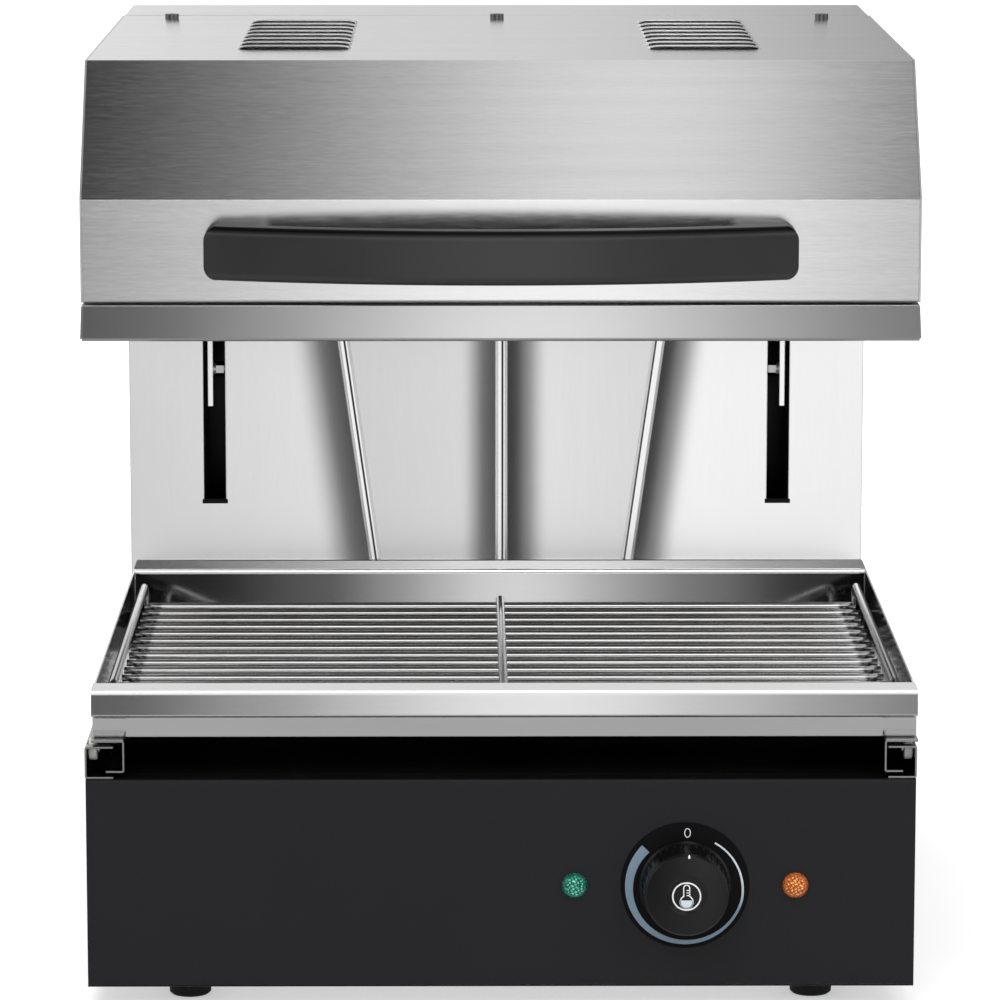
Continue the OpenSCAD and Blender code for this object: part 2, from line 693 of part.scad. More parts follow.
module guide_rollers(z) color("whitesmoke") stand() both_sides() translate([guide_x, lift_d, z])
    roller(guide_bolt_d / 2, guide_roller_d / 2, guide_w);

// ---- Controls ----

dial_t = 0.6;
thermostat_rear = black_sheet + 32;
tab_l = 8;                            // of the push-on tabs
module controls_at(depth, side = 0) translate([knob_x + side * lamp_gap, depth, control_z]) children();

module thermostat_body() color("darkgray") stand() controls_at(0) difference() {
    union() {
        block([-20, black_sheet, -16], [20, black_sheet + 1.5, 16]);
        block([-17, black_sheet, -14], [17, thermostat_rear, 14]);
        for (x = [-11, 11]) block([x - 3, thermostat_rear - eps, -1], [x + 3, thermostat_rear + tab_l, 1]);
    }
    bar_y(spindle_d / 2 + run_fit, 0, black_sheet + 22);
}

module thermostat_spindle() color("silver") stand() controls_at(0)
    bar_y(spindle_d / 2, -knob_out + 7, black_sheet + 20);

module dial_plate() color([0.06, 0.06, 0.06]) stand() controls_at(0) difference() {
    bar_y(dial_d / 2, -dial_t, 0);
    bar_y(spindle_d / 2 + 1, -1, 1);
}

// The knob: a turned cap with a skirt, a finger dimple and a ribbed edge.
knob_ribs = 36;
knob_dish_r = 11;
module knob() color([0.08, 0.08, 0.08]) stand() controls_at(-dial_t - near) rotate([90, 0, 0]) difference() {
    edge = knob_d / 2;
    top = knob_out - dial_t - near;
    rotate_extrude() polygon([[0, 2], [edge - 4, 2], [edge - 4, 0], [edge, 0], [edge, 1.5], [edge - 1.2, 2.6],
        [edge - 2.2, top - 1.2], [edge - 3.4, top], [knob_dish_r, top - 0.2], [knob_dish_r - 2, top - 1.4],
        [0, top - 1.6]]);
    translate([0, 0, 1]) cylinder(r = spindle_d / 2 + run_fit, h = top - 6);
    translate([0, 0, 3.4]) linear_extrude(height = top) difference() {
        circle(r = knob_d);
        circle(r = edge - 2.2);
        for (k = [0 : knob_ribs - 1]) rotate(k * 360 / knob_ribs)
            translate([edge - 3, -1.2]) square([4, 2.4]);
    }
}

module lens(side) controls_at(0, side) rotate([90, 0, 0]) rotate_extrude()
    polygon([[0, -black_sheet], [lens_d / 2 - 2, -black_sheet], [lens_d / 2 - 2, 0], [lens_d / 2, 0],
        [lens_d / 2, 1.2], [lens_d / 2 - 1, 2.4], [lens_d / 2 - 3, 3.6], [0, 4.2]]);
module green_lens() color("green") stand() lens(-1);
module amber_lens() color("orange") stand() lens(1);

lamp_rear = black_sheet + 22;
module lamp_bodies() color("ivory") stand() for (s = [-1, 1]) controls_at(0, s) {
    bar_y(lens_d / 2 + 1, black_sheet, black_sheet + 3);
    bar_y(lens_d / 2 - 2, black_sheet, lamp_rear);
    for (x = [-2.5, 2.5]) block([x - 0.4, lamp_rear - eps, -2.4], [x + 0.4, lamp_rear + tab_l, 2.4]);
}

module terminal_block() color("ivory") stand() translate([gland_x + 60, rear_face - 60, pan_top])
    difference() {
        union() {
            block([-30, -11, 0], [30, 11, 10]);
            block([-30, -6, 0], [30, 6, 18]);
        }
        for (x = [-24 : 12 : 24]) translate([x, 0, 12]) cylinder(r = 2.4, h = 7);
    }

module cable_gland() color([0.1, 0.1, 0.1]) stand() translate([gland_x, 0, gland_z]) difference() {
    union() {
        bar_y(gland_r, rear_face - 9, rear_face);
        translate([0, rear_face + 4, 0]) rotate([90, 0, 0]) cylinder(r = 11, h = 4, $fn = 6);
        translate([0, rear_face, 0]) rotate([-90, 0, 0]) rotate_extrude() polygon([[0, 0], [9.4, 0],
            [9.4, gland_out - 4], [7, gland_out - 0.6], [6.2, gland_out], [0, gland_out]]);
        translate([0, rear_face - sheet, 0]) rotate([90, 0, 0]) cylinder(r = 11, h = 4, $fn = 6);
    }
    bar_y(gland_bore / 2, rear_face - 10, rear_face + gland_out + 1);
}

module cabinet_screws() color("silver") stand() both_sides() cover_screw_places()
    translate([0, rear_face, 0]) rotate([-90, 0, 0]) pan_screw(screw_r - 0.25, 3.6, 2, 6);

// ---- Rails ----

module rail_screw_places() for (y = [60, rail_l / 2, rail_l - 60])
    translate([rail_out - rail_w + 3, rail_front + y, deck_z]) children();

module fixed_rail(right) color("lightslategray") stand() on_side(right) difference() {
    union() {
        rearward(rail_front, rail_front + rail_l) polygon(strip(rounded([
            [rail_out - rail_w, deck_z], [rail_out, deck_z], [rail_out, deck_z + rail_h],
            [rail_out - rail_w, deck_z + rail_h]], rail_bend_r), rail_t));
        translate([front_roller_x, front_roller_at, front_roller_z]) {
            bar_x(rail_pin_r, -1, rail_out - rail_t - front_roller_x + eps);
            bar_x(rail_pin_r + 1, -1.4, -near);
        }
    }
    // The front roller stands up through the top flange
    block([rail_out - rail_w - 1, front_roller_at - front_roller_r - 1.5, deck_z + rail_h - rail_t - 1],
        [rail_out - rail_t, front_roller_at + front_roller_r + 1.5, deck_z + rail_h + 1]);
    rail_screw_places() translate([0, 0, -1]) cylinder(r = screw_r - 0.5 + screw_fit, h = rail_t + 2);
}

module rail_screws() color("silver") stand() both_sides() rail_screw_places()
    translate([0, 0, rail_t]) pan_screw(screw_r - 0.5, 2.6, 1.4, 6);

module slide_rail(right) color("lightslategray") in_tray() on_side(right) {
    low = deck_z + rail_gap;
    rearward(rail_front, rail_front + rail_l) polygon(strip(rounded([
        [slide_web + slide_top_w, tray_z], [slide_web, tray_z], [slide_web, low],
        [slide_web + slide_low_w, low]], rail_bend_r), rail_t));
    translate([rear_roller_x, rear_roller_at, rear_roller_z]) {
        bar_x(rail_pin_r, slide_web + rail_t - eps - rear_roller_x, roller_w + 0.2);
        bar_x(rail_pin_r + 1, -2, -near);
    }
}

module rail_rollers_front() color("whitesmoke") stand() both_sides()
    translate([front_roller_x, front_roller_at, front_roller_z])
        roller(rail_pin_r, front_roller_r, roller_w);
module rail_rollers_rear() color("whitesmoke") in_tray() both_sides()
    translate([rear_roller_x, rear_roller_at, rear_roller_z])
        roller(rail_pin_r, rear_roller_r, roller_w);

// ---- Tray and grid ----

// Everything that slides with the tray, which hangs a little to one side in its rails.
module in_tray() translate([tray_side, 0, 0]) stand() children();

module tray_pan() color("gainsboro") in_tray() {
    wall = tray_back - rim_d;
    lip_low = tray_top - lip_h;
    front = [[tray_front + lip_d, lip_low + 3], [tray_front + lip_d, tray_top], [tray_front, tray_top],
        [tray_front, lip_low], [tray_front + band_set, lip_low]];
    radii = [for (i = [0 : 8]) i == 2 ? lip_bend_r : bend_r];
    // Lip, band, floor, rear wall and rim are one folded sheet
    folded(concat(front, [[tray_front + band_set, tray_z], [wall, tray_z], [wall, tray_top - sheet],
        [tray_back - sheet, tray_top - sheet], [tray_back - sheet, tray_top - flange]]),
        sheet, radii, tray_w - 2 * sheet);
    folded(front, sheet, radii, lip_w);
    both_sides() block([tray_w / 2 - sheet, tray_front + band_set, tray_z],
        [tray_w / 2, tray_back, tray_top]);
}

// A lifting handle bent from bar, that stands on the rods' level beside them.
grid_leg = 14;
module grid_handle() {
    bend = 8;
    front = grid_front + grid_leg;
    for (y = [front, grid_rear]) translate([0, y, rod_z]) cylinder(r = bar_d / 2, h = grid_handle_h - bend);
    translate([0, 0, rod_z + grid_handle_h]) bar_y(bar_d / 2, front + bend, grid_rear - bend);
    translate([0, 0, rod_z + grid_handle_h - bend]) {
        translate([0, front + bend, 0]) rotate([0, -90, 0]) rotate([0, 0, -90])
            rotate_extrude(angle = 90) translate([bend, 0]) circle(r = bar_d / 2);
        translate([0, grid_rear - bend, 0]) rotate([0, -90, 0])
            rotate_extrude(angle = 90) translate([bend, 0]) circle(r = bar_d / 2);
    }
}

module wire_grid() color("silver") in_tray() {
    for (k = [1 : rod_count]) translate([0, grid_rear - k * rod_pitch, rod_z])
        bar_x(rod_d / 2, -grid_half, grid_half);
    for (y = [grid_front, grid_rear]) translate([0, y, rod_z]) bar_x(bar_d / 2, -grid_half, grid_half);
    both_sides() {
        translate([grid_half - 6, 0, grid_floor + bar_d / 2]) bar_y(bar_d / 2, grid_front, grid_rear);
        translate([grid_half, 0, 0]) grid_handle();
        translate([grid_half, 0, rod_z]) bar_y(bar_d / 2, grid_front, grid_front + grid_leg);
    }
    translate([0, 0, rod_z + rod_d / 2 + bar_d / 2 - weld]) bar_y(bar_d / 2, grid_front, grid_rear);
}

// ---- Hood ----

module hood_shell() color("silver") stand() difference() {
    union() {
        folded([[hood_face + flange, hood_bottom], [hood_face, hood_bottom], [hood_face, hood_knee],
            [hood_face + hood_slope, grill_h], [hood_rear, grill_h]], -sheet, bend_r, 2 * hood_in);
        louvre_places() louvre_lens(louvre_l, louvre_h, louvre_d);
    }
    louvre_places() louvre_hole(louvre_l, louvre_h, louvre_d);
    roof_screw_places() translate([0, 0, -3]) cylinder(r = screw_r + screw_fit, h = 5);
    handle_screw_places() bar_y(handle_screw_r + screw_fit, hood_face - 1, hood_face + 3);
}
module louvre_places() for (s = [-1, 1], k = [0 : louvre_rows - 1])
    translate([s * louvre_x, louvre_front + k * louvre_pitch, grill_h]) children();
module roof_screw_places() for (s = [-1, 0, 1])
    translate([s * roof_screw_x, roof_screw_at, grill_h]) children();
module handle_screw_places() for (s = [-1, 1]) translate([s * block_x, 0, handle_z]) children();

module hood_cheek(right) color("silver") stand() on_side(right) {
    translate([hood_in, 0, 0]) rotate([90, 0, 90]) linear_extrude(height = sheet)
        polygon(rounded([[hood_rear, hood_bottom], [hood_face, hood_bottom], [hood_face, hood_knee],
            [hood_face + hood_slope, grill_h], [hood_rear, grill_h]], [0, eps, bend_r, bend_r, 0]));
    block([hood_in - flange, hood_face + flange + 1, hood_bottom],
        [hood_in + eps, hood_rear, hood_bottom + sheet]);
}

module hood_back() color("silver") stand() difference() {
    folded([[hood_rear - back_flange, roof_under], [hood_rear, roof_under], [hood_rear, hood_bottom + sheet],
        [hood_rear - flange + 2, hood_bottom + sheet]], -sheet, bend_r, 2 * hood_in);
    roof_screw_places() translate([0, 0, -4]) cylinder(r = screw_r + screw_fit, h = 5);
    // The arms pass through to the roof
    both_sides() block([arm_in - 0.5, hood_rear - 3, hood_bottom + 11],
        [arm_out + 0.5, hood_rear + 1, arm_top + 1]);
}

// The skirt hangs from the hood on a joggled flange, so a dark gap shows above it.
module hood_skirt() color("gainsboro") stand() {
    top = hood_bottom - skirt_gap;
    out = hood_face + 1.5;
    hem = out - skirt_flare;
    folded([[hood_face + flange, hood_bottom], [out + joggle, hood_bottom], [out + joggle, top], [out, top],
        [hem, skirt_z], [hem + hem_fold, skirt_z]], sheet, bend_r, 2 * (hood_half - sheet));
    both_sides() {
        rearward(out + joggle + sheet, hood_rear) polygon(strip(rounded([[hood_half - flange, hood_bottom],
            [hood_half - joggle, hood_bottom], [hood_half - joggle, top], [hood_half, top],
            [hood_half, skirt_z], [hood_half - hem_fold, skirt_z]], bend_r), -sheet));
        translate([hood_half - sheet, 0, 0]) rotate([90, 0, 90]) linear_extrude(height = sheet)
            polygon([[out + joggle + sheet, top - bend_r], [out + joggle + sheet, skirt_z + bend_r],
                [hem + 2 * bend_r, skirt_z + bend_r], [out + 0.5, top - bend_r]]);
    }
}

module reflector() color("gainsboro") stand() difference() {
    low = hood_bottom + sheet;
    slope = 10;
    rim = 19;
    union() {
        rearward(reflector_front, reflector_back) polygon(strip([[-hood_in + 1, low], [-hood_in + rim, low],
            [-hood_in + rim + slope, low + reflector_h], [hood_in - rim - slope, low + reflector_h],
            [hood_in - rim, low], [hood_in - 1, low]], sheet));
        for (y = [reflector_front, reflector_back - sheet]) rearward(y, y + sheet)
            polygon([[-hood_in + rim, low], [-hood_in + rim + slope, low + reflector_h],
                [hood_in - rim - slope, low + reflector_h], [hood_in - rim, low]]);
    }
    element_ends() translate([0, 0, reflector_h - 3]) cylinder(r = element_d / 2 + near, h = 10);
}

module insulation() color("ivory") stand() difference() {
    block([-hood_in + 32, reflector_front + 6, insulation_low],
        [hood_in - 32, reflector_back - 6, insulation_top]);
    element_ends() cylinder(r = element_d / 2 + near + 1, h = 80);
}

// Each element is a hairpin with its two ends turned up through the reflector.
module element_rows() for (k = [0 : element_count - 1])
    translate([0, element_first + k * element_step, element_z]) children();
module element_ends() element_rows() for (y = [0, element_pitch])
    translate([element_end, y, -element_z + hood_bottom]) children();

module heating_elements() color([0.25, 0.22, 0.2]) stand() element_rows() {
    r = element_d / 2;
    rise = element_d + insulation_h + 14;
    for (y = [0, element_pitch]) translate([0, y, 0]) {
        bar_x(r, -element_leg + element_pitch / 2, element_end - element_d);
        translate([element_end - element_d, 0, element_d]) rotate([90, 0, 0]) rotate([0, 0, -90])
            rotate_extrude(angle = 90) translate([element_d, 0]) circle(r = r);
        translate([element_end, 0, element_d]) cylinder(r = r, h = rise - element_d);
        translate([element_end, 0, rise - eps]) cylinder(r = 1.6, h = 10);
    }
    translate([-element_leg + element_pitch / 2, element_pitch / 2, 0]) rotate([0, 0, 90])
        rotate_extrude(angle = 180) translate([element_pitch / 2, 0]) circle(r = r);
}

// Perforated strips that hang from the reflector and carry the elements.
module element_supports() color("lightgray") stand() for (s = [-1, 0, 1]) translate([s * support_x, 0, 0])
    difference() {
        block([-1, reflector_front + sheet + 10, hood_bottom + 3],
            [1, reflector_back - sheet - 10, hood_bottom + sheet + reflector_h]);
        element_rows() for (y = [0, element_pitch]) translate([0, y, 0]) bar_x(element_d / 2 + near, -2, 2);
    }

// A rectangle with round corners, centred.
module soft_box(w, h, r) {
    square([w - 2 * r, h], center = true);
    square([w, h - 2 * r], center = true);
    for (x = [-1, 1], y = [-1, 1]) translate([x * (w / 2 - r), y * (h / 2 - r)]) circle(r = r);
}

// The grip is a bowed bar with round ends, on two blocks that seat on the hood's face.
module handle() color([0.13, 0.13, 0.13]) stand() difference() {
    sweep = asin(bow_x / bow_r) + 1;
    block_front = grip_mid + handle_bow - grip_t / 2 + 2;
    inset = 0.5;             // of the blocks from the grip's outline
    union() {
        intersection() {
            translate([0, grip_mid + bow_r, handle_z]) rotate([0, 0, -90 - sweep])
                rotate_extrude(angle = 2 * sweep) translate([bow_r, 0]) soft_box(grip_t, handle_h, grip_edge);
            rearward(hood_face - handle_reach - 1, hood_face) translate([0, handle_z])
                soft_box(handle_l, handle_h + inset, handle_corner);
        }
        both_sides() rearward(block_front, hood_face) translate([block_x, handle_z])
            soft_box(handle_block - 2 * inset, handle_h - 2 * inset, handle_corner - inset);
    }
    handle_screw_places() bar_y(handle_screw_r + run_fit, hood_face - 14, hood_face + 1);
}

module handle_screws() color("silver") stand() handle_screw_places() translate([0, hood_face + sheet, 0])
    rotate([-90, 0, 0]) pan_screw(handle_screw_r, 4.8, 3, 13);

module roof_screws() color("silver") stand() roof_screw_places() difference() {
    pan_screw(screw_r, head_r, 3, 6);
    for (a = [0, 90]) rotate([0, 0, a]) translate([-2.2, -0.4, 1.8]) cube([4.4, 0.8, 2]);
}

base_pan();
fascia();
deck();
side_panel(false);  // side_panel_left
side_panel(true);  // side_panel_right
column_front();
column_top();
rear_cover();
slot_buffers();
feet();
foot_screws();
guide_channel(false);  // guide_channel_left
guide_channel(true);  // guide_channel_right
pulley_brackets();
thermostat_body();
dial_plate();
green_lens();
amber_lens();
lamp_bodies();
terminal_block();
cable_gland();
fixed_rail(false);  // fixed_rail_left
fixed_rail(true);  // fixed_rail_right
rail_screws();
cabinet_screws();
rope_bends();
ropes_front();
ropes_rear();
hood_shell();
hood_cheek(false);  // hood_cheek_left
hood_cheek(true);  // hood_cheek_right
hood_back();
hood_skirt();
reflector();
insulation();
heating_elements();
element_supports();
handle();
handle_screws();
roof_screws();
arm(false);  // arm_left
arm(true);  // arm_right
carriage_bar();
roller_bolts();
guide_rollers(upper_roller_z);  // guide_rollers_upper
guide_rollers(lower_roller_z);  // guide_rollers_lower
counterweight();
weight_eyes();
pulley_shaft();
pulleys();
knob();
thermostat_spindle();
tray_pan();
slide_rail(false);  // slide_rail_left
slide_rail(true);  // slide_rail_right
wire_grid();
rail_rollers_front();
rail_rollers_rear();
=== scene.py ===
import math
import bmesh
import bpy
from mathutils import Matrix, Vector


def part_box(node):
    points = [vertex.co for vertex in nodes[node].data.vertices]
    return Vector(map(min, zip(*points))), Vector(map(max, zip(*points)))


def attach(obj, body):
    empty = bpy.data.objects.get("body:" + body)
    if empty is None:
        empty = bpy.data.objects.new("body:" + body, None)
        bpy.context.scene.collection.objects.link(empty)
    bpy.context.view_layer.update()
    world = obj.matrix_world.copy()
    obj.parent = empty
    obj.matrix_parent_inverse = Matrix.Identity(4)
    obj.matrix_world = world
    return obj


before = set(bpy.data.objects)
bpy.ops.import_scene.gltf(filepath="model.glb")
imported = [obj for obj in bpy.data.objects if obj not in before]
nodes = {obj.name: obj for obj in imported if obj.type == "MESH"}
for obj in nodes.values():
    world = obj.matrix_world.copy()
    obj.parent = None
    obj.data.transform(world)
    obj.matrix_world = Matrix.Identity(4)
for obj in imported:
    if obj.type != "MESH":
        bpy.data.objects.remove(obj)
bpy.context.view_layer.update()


def srgb(r, g, b):
    """A colour of 0 to 255 in sRGB as linear numbers."""
    def linear(c):
        c /= 255
        return c / 12.92 if c <= 0.04045 else ((c + 0.055) / 1.055) ** 2.4
    return (linear(r), linear(g), linear(b), 1.0)


def grey(level):
    return (level, level, level, 1.0)


# ---------- places in metres, taken from the frame ----------

FASCIA_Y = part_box("fascia")[0].y
HOOD_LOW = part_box("hood_shell")[0].z
KNEE_Z = HOOD_LOW + 0.0555              # fold between the hood's face and its slope
TRAY_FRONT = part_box("tray_pan")[0].y
TRAY_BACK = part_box("tray_pan")[1].y
TRAY_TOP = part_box("tray_pan")[1].z
TRAY_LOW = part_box("tray_pan")[0].z
TRAY_MID = 0.002                        # the tray hangs this much to the right
LIP_LOW = TRAY_TOP - 0.0147             # lower edge of the face of the tray's lip
KNOB_LOW, KNOB_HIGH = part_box("knob")
KNOB_X = (KNOB_LOW.x + KNOB_HIGH.x) / 2
KNOB_Z = (KNOB_LOW.z + KNOB_HIGH.z) / 2
DIAL_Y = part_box("dial_plate")[0].y


# ---------- shader helpers ----------

class Graph:
    """Builds a node tree with few words. A value is a number, a colour or another node's socket."""

    def __init__(self, tree, output):
        self.tree = tree
        self.tree.nodes.clear()
        self.out = self.node(output)
        self.object_place = None

    def node(self, kind, inputs=None, **settings):
        made = self.tree.nodes.new("ShaderNode" + kind)
        for key, value in settings.items():
            setattr(made, key, value)
        for key, value in (inputs or {}).items():
            self.put(made.inputs[key], value)
        return made

    def put(self, socket, value):
        if isinstance(value, bpy.types.NodeSocket):
            self.tree.links.new(value, socket)
        else:
            socket.default_value = value

    def place(self):
        """The point in the part's own frame, in metres."""
        if self.object_place is None:
            self.object_place = self.node("TexCoord").outputs["Object"]
        return self.object_place

    def math(self, operation, a, b=0.0, c=0.0):
        made = self.node("Math", operation=operation)
        for socket, value in zip(made.inputs, (a, b, c)):
            self.put(socket, value)
        return made.outputs[0]

    def times(self, *values):
        total = values[0]
        for value in values[1:]:
            total = self.math("MULTIPLY", total, value)
        return total

    def plus(self, *values):
        total = values[0]
        for value in values[1:]:
            total = self.math("ADD", total, value)
        return total

    def minus(self, a, b):
        return self.math("SUBTRACT", a, b)

    def rest(self, mask):
        """What a mask of 0 to 1 leaves out."""
        return self.minus(1.0, mask)

    def absolute(self, value):
        return self.math("ABSOLUTE", value)

    def above(self, a, b):
        return self.math("GREATER_THAN", a, b)

    def below(self, a, b):
        return self.math("LESS_THAN", a, b)

    def larger(self, a, b):
        return self.math("MAXIMUM", a, b)

    def split(self, vector):
        return self.node("SeparateXYZ", inputs={0: vector}).outputs

    def join(self, x, y, z):
        return self.node("CombineXYZ", inputs={0: x, 1: y, 2: z}).outputs[0]

    def vector(self, operation, a, b=None, out=0):
        made = self.node("VectorMath", operation=operation)
        self.put(made.inputs[0], a)
        if b is not None:
            self.put(made.inputs["Scale" if operation == "SCALE" else 1], b)
        return made.outputs[out]

    def noise(self, scale, detail=3.0, rough=0.55):
        """Noise in features per metre, with one number or one for each axis."""
        if not isinstance(scale, tuple):
            scale = (scale, scale, scale)
        mapped = self.node("Mapping", inputs={"Vector": self.place(), "Scale": scale})
        return self.node("TexNoise", inputs={
            "Vector": mapped.outputs[0], "Scale": 1.0, "Detail": detail, "Roughness": rough,
            "Distortion": 0.0}).outputs["Fac"]

    def span(self, value, low, high, to_low=0.0, to_high=1.0, smooth=False):
        """Carries the span low to high to the span to_low to to_high, and stops at its ends."""
        made = self.node("MapRange", clamp=True)
        if smooth:
            made.interpolation_type = "SMOOTHSTEP"
        for socket, number in zip(made.inputs, (value, low, high, to_low, to_high)):
            self.put(socket, number)
        return made.outputs[0]

    def vary(self, noise, low, high):
        """Carries noise, which mostly lies between 0.3 and 0.7, to the span low to high."""
        return self.span(noise, 0.3, 0.7, low, high)

    def fall(self, value, low, high, to_high=0.0, smooth=False):
        """A factor that falls from 1 at low to to_high at high."""
        return self.span(value, low, high, 1.0, to_high, smooth)

    def ramp(self, value, stops):
        """A number that runs smoothly through (value, level) stops."""
        made = self.node("ValToRGB")
        made.color_ramp.interpolation = "EASE"
        low, high = stops[0][0], stops[-1][0]
        points = made.color_ramp.elements
        for i, (where, level) in enumerate(stops):
            point = points[i] if i < 2 else points.new(1.0)
            point.position = (where - low) / (high - low)
            point.color = grey(level)
        self.put(made.inputs[0], self.span(value, low, high))
        return self.node("RGBToBW", inputs={0: made.outputs[0]}).outputs[0]

    def mix(self, share, a, b):
        """A colour between two; the Mix node keeps its colours in sockets 6 and 7."""
        made = self.node("Mix", data_type="RGBA", clamp_factor=True, inputs={0: share, 6: a, 7: b})
        return made.outputs[2]

    def between(self, share, a, b):
        """A number between two; the Mix node keeps its numbers in sockets 2 and 3."""
        made = self.node("Mix", data_type="FLOAT", clamp_factor=True,
                         inputs={0: share, 2: a, 3: b})
        return made.outputs[0]

    def bump(self, height, strength, distance, normal):
        return self.node("Bump", inputs={"Height": height, "Strength": strength,
                                         "Distance": distance, "Normal": normal}).outputs[0]

    def bevel(self, radius):
        return self.node("Bevel", samples=4, inputs={"Radius": radius}).outputs[0]

    def leaned(self, normal, lean):
        return self.vector("NORMALIZE", self.vector("ADD", normal, lean))

    def principled(self, **inputs):
        made = self.node("BsdfPrincipled")
        for key, value in inputs.items():
            self.put(made.inputs[key.replace("_", " ")], value)
        self.put(self.out.inputs["Surface"], made.outputs[0])


def material(name):
    made = bpy.data.materials.new(name)
    made.use_nodes = True
    return made, Graph(made.node_tree, "OutputMaterial")


# scratches and wider bands per metre, few along the brushing and many across it
SCRATCH_ALONG, SCRATCH_ACROSS = 90.0, 900.0
BAND_ALONG, BAND_ACROSS = 3.0, 120.0
CLOUD = 9.0                 # slow drift of the tone
SCRATCH_DEPTH = 0.00003


def brushed(along, few, many):
    return tuple(few if axis == along else many for axis in "XYZ")


def steel(name, tone, rough, along="X", grain=0.5, edge=0.0006, lean=None, shade=None,
          tint=(1.0, 1.0, 1.0)):
    """Sheet steel brushed along one axis, with its edges rounded by the metres in edge.
    lean gives what is added to the normal, as the sheet isn't quite flat, and shade a factor on
    the tone."""
    made, g = material(name)
    fine = g.noise(brushed(along, SCRATCH_ALONG, SCRATCH_ACROSS), detail=5.0, rough=0.7)
    wide = g.noise(brushed(along, BAND_ALONG, BAND_ACROSS), detail=2.0)
    cloud = g.noise(CLOUD)
    level = g.plus(g.span(fine, 0.25, 0.75, 1 - 0.20 * grain, 1 + 0.12 * grain),
                   g.vary(wide, -0.05 * grain, 0.05 * grain))
    level = g.times(level, g.vary(cloud, 0.98, 1.02))
    normal = g.bevel(edge)
    if shade is not None:
        level = g.times(level, shade(g, normal))
    if lean is not None:
        normal = g.leaned(normal, lean(g, normal))
    roughness = g.plus(g.vary(fine, rough - 0.05 * grain, rough + 0.06 * grain),
                       g.span(cloud, 0.35, 0.65, 0.0, 0.02))
    g.principled(Base_Color=g.vector("SCALE", [tone * t for t in tint], level), Metallic=1.0,
                 Roughness=roughness, Normal=g.bump(fine, 0.25 * grain, SCRATCH_DEPTH, normal))
    return made


DRIFT, WEAR = 14.0, 60.0                # slow drift of a colour and patches of wear, per metre
EDGE_FROM, EDGE_FULL = 0.97, 0.80       # how much the rounded normal agrees with the flat one


def plain(name, colour, rough, metallic=0.0, specular=0.5, spot=700.0, variation=0.12, bump=0.15,
          depth=0.00006, edge=0.0005, worn=None, shade=None, shine=None, lean=None):
    """A moulded, painted or cast surface: spots per metre and their depth, and a slight drift of
    the colour. Its edges are rubbed to the colour in worn. shine gives a factor on its gloss, and
    shade and lean are those of steel."""
    made, g = material(name)
    fine = g.noise(spot, rough=0.6)
    drift = g.noise(DRIFT, detail=4.0)
    level = g.times(g.vary(fine, 1 - variation, 1 + variation),
                    g.vary(drift, 1 - variation, 1 + variation))
    normal = g.bevel(edge)
    if shade is not None:
        level = g.times(level, shade(g, normal))
    base = g.vector("SCALE", colour[:3], level)
    if worn is not None:
        flat = g.node("NewGeometry").outputs["Normal"]
        agreed = g.vector("DOT_PRODUCT", normal, flat, out=1)
        rubbed = g.times(g.span(agreed, EDGE_FROM, EDGE_FULL),
                         g.span(g.noise(WEAR), 0.45, 0.6, 0.0, 0.5))
        base = g.mix(rubbed, base, worn)
    if shine is not None:
        specular = g.times(shine(g, normal), specular)
    if lean is not None:
        normal = g.leaned(normal, lean(g, normal))
    g.principled(Base_Color=base, Metallic=metallic, Specular_IOR_Level=specular,
                 Roughness=g.vary(drift, rough - 0.05, rough + 0.05),
                 Normal=g.bump(fine, bump, depth, normal))
    return made


def dress(made, *names):
    for name in names:
        mesh = nodes[name].data
        mesh.materials.clear()
        mesh.materials.append(made)


# a face begins to count as looking one way at the first part of its normal, and fully does so at
# the second
FACING_FROM, FACING_FULL = 0.6, 0.8


def facing_front(g, normal):
    return g.span(g.split(normal)[1], -FACING_FROM, -FACING_FULL)


def facing_up(g, normal):
    return g.span(g.split(normal)[2], FACING_FROM, FACING_FULL)


# ---------- steel sheets ----------
# A crown is the sideways lean of the normal for each metre to the right of the middle.

HOOD_SLOPE_CROWN, HOOD_FACE_CROWN = 0.5, 0.3


def hood_lean(g, normal):
    """The hood's sheet is crowned from side to side, its slope more than its face."""
    x, _, z = g.split(g.place())
    face = g.below(z, KNEE_Z)
    return g.join(g.times(x, g.between(face, HOOD_SLOPE_CROWN, HOOD_FACE_CROWN)), 0.0, 0.0)


SKIRT_CROWN, SKIRT_AHEAD, SKIRT_LIFT = 0.56, -0.15, -0.375


def skirt_lean(g, normal):
    """The skirt's front is curled in section and crowned from side to side."""
    x = g.split(g.place())[0]
    front = facing_front(g, normal)
    return g.join(g.times(x, SKIRT_CROWN), g.times(front, SKIRT_AHEAD), g.times(front, SKIRT_LIFT))


# the column's three ribs; a pair is for the left and the right of the middle one
RIB_MID = 0.003                         # they stand this much to the right
RIB_FOOT, RIB_SPREAD = 0.0775, 0.14     # the outer two at the tray's height, and how they spread
RIB_HALF, RIB_EDGE = 0.0032, 0.0008     # half a crown, and the width over which it ends
RIB_CROWN, MIDDLE_CROWN = (0.030, 0.0), 0.014
MIDDLE_REACH = 0.02                     # nearer than this, the nearest rib is the middle one
CREASE_AT, MIDDLE_CREASE_AT = (0.0004, -0.0018), 0.0007
CREASE_HALF, CREASE_END, CREASE_LEAN = 0.0003, 0.0008, -0.28
# the sheet outside the outer ribs and between them: how much it is drawn in, over which distance
# from the rib, and how the whole panel leans
OUTER_DRAW, OUTER_WIDTH, OUTER_PANEL = (0.17, 0.26), 0.034, (-0.017, 0.0)
INNER_DRAW, INNER_FROM, INNER_TO = (0.15, 0.22), 0.002, (0.026, 0.030)
INNER_PANEL = (-0.040, 0.056)
COLUMN_LIFT = 0.095


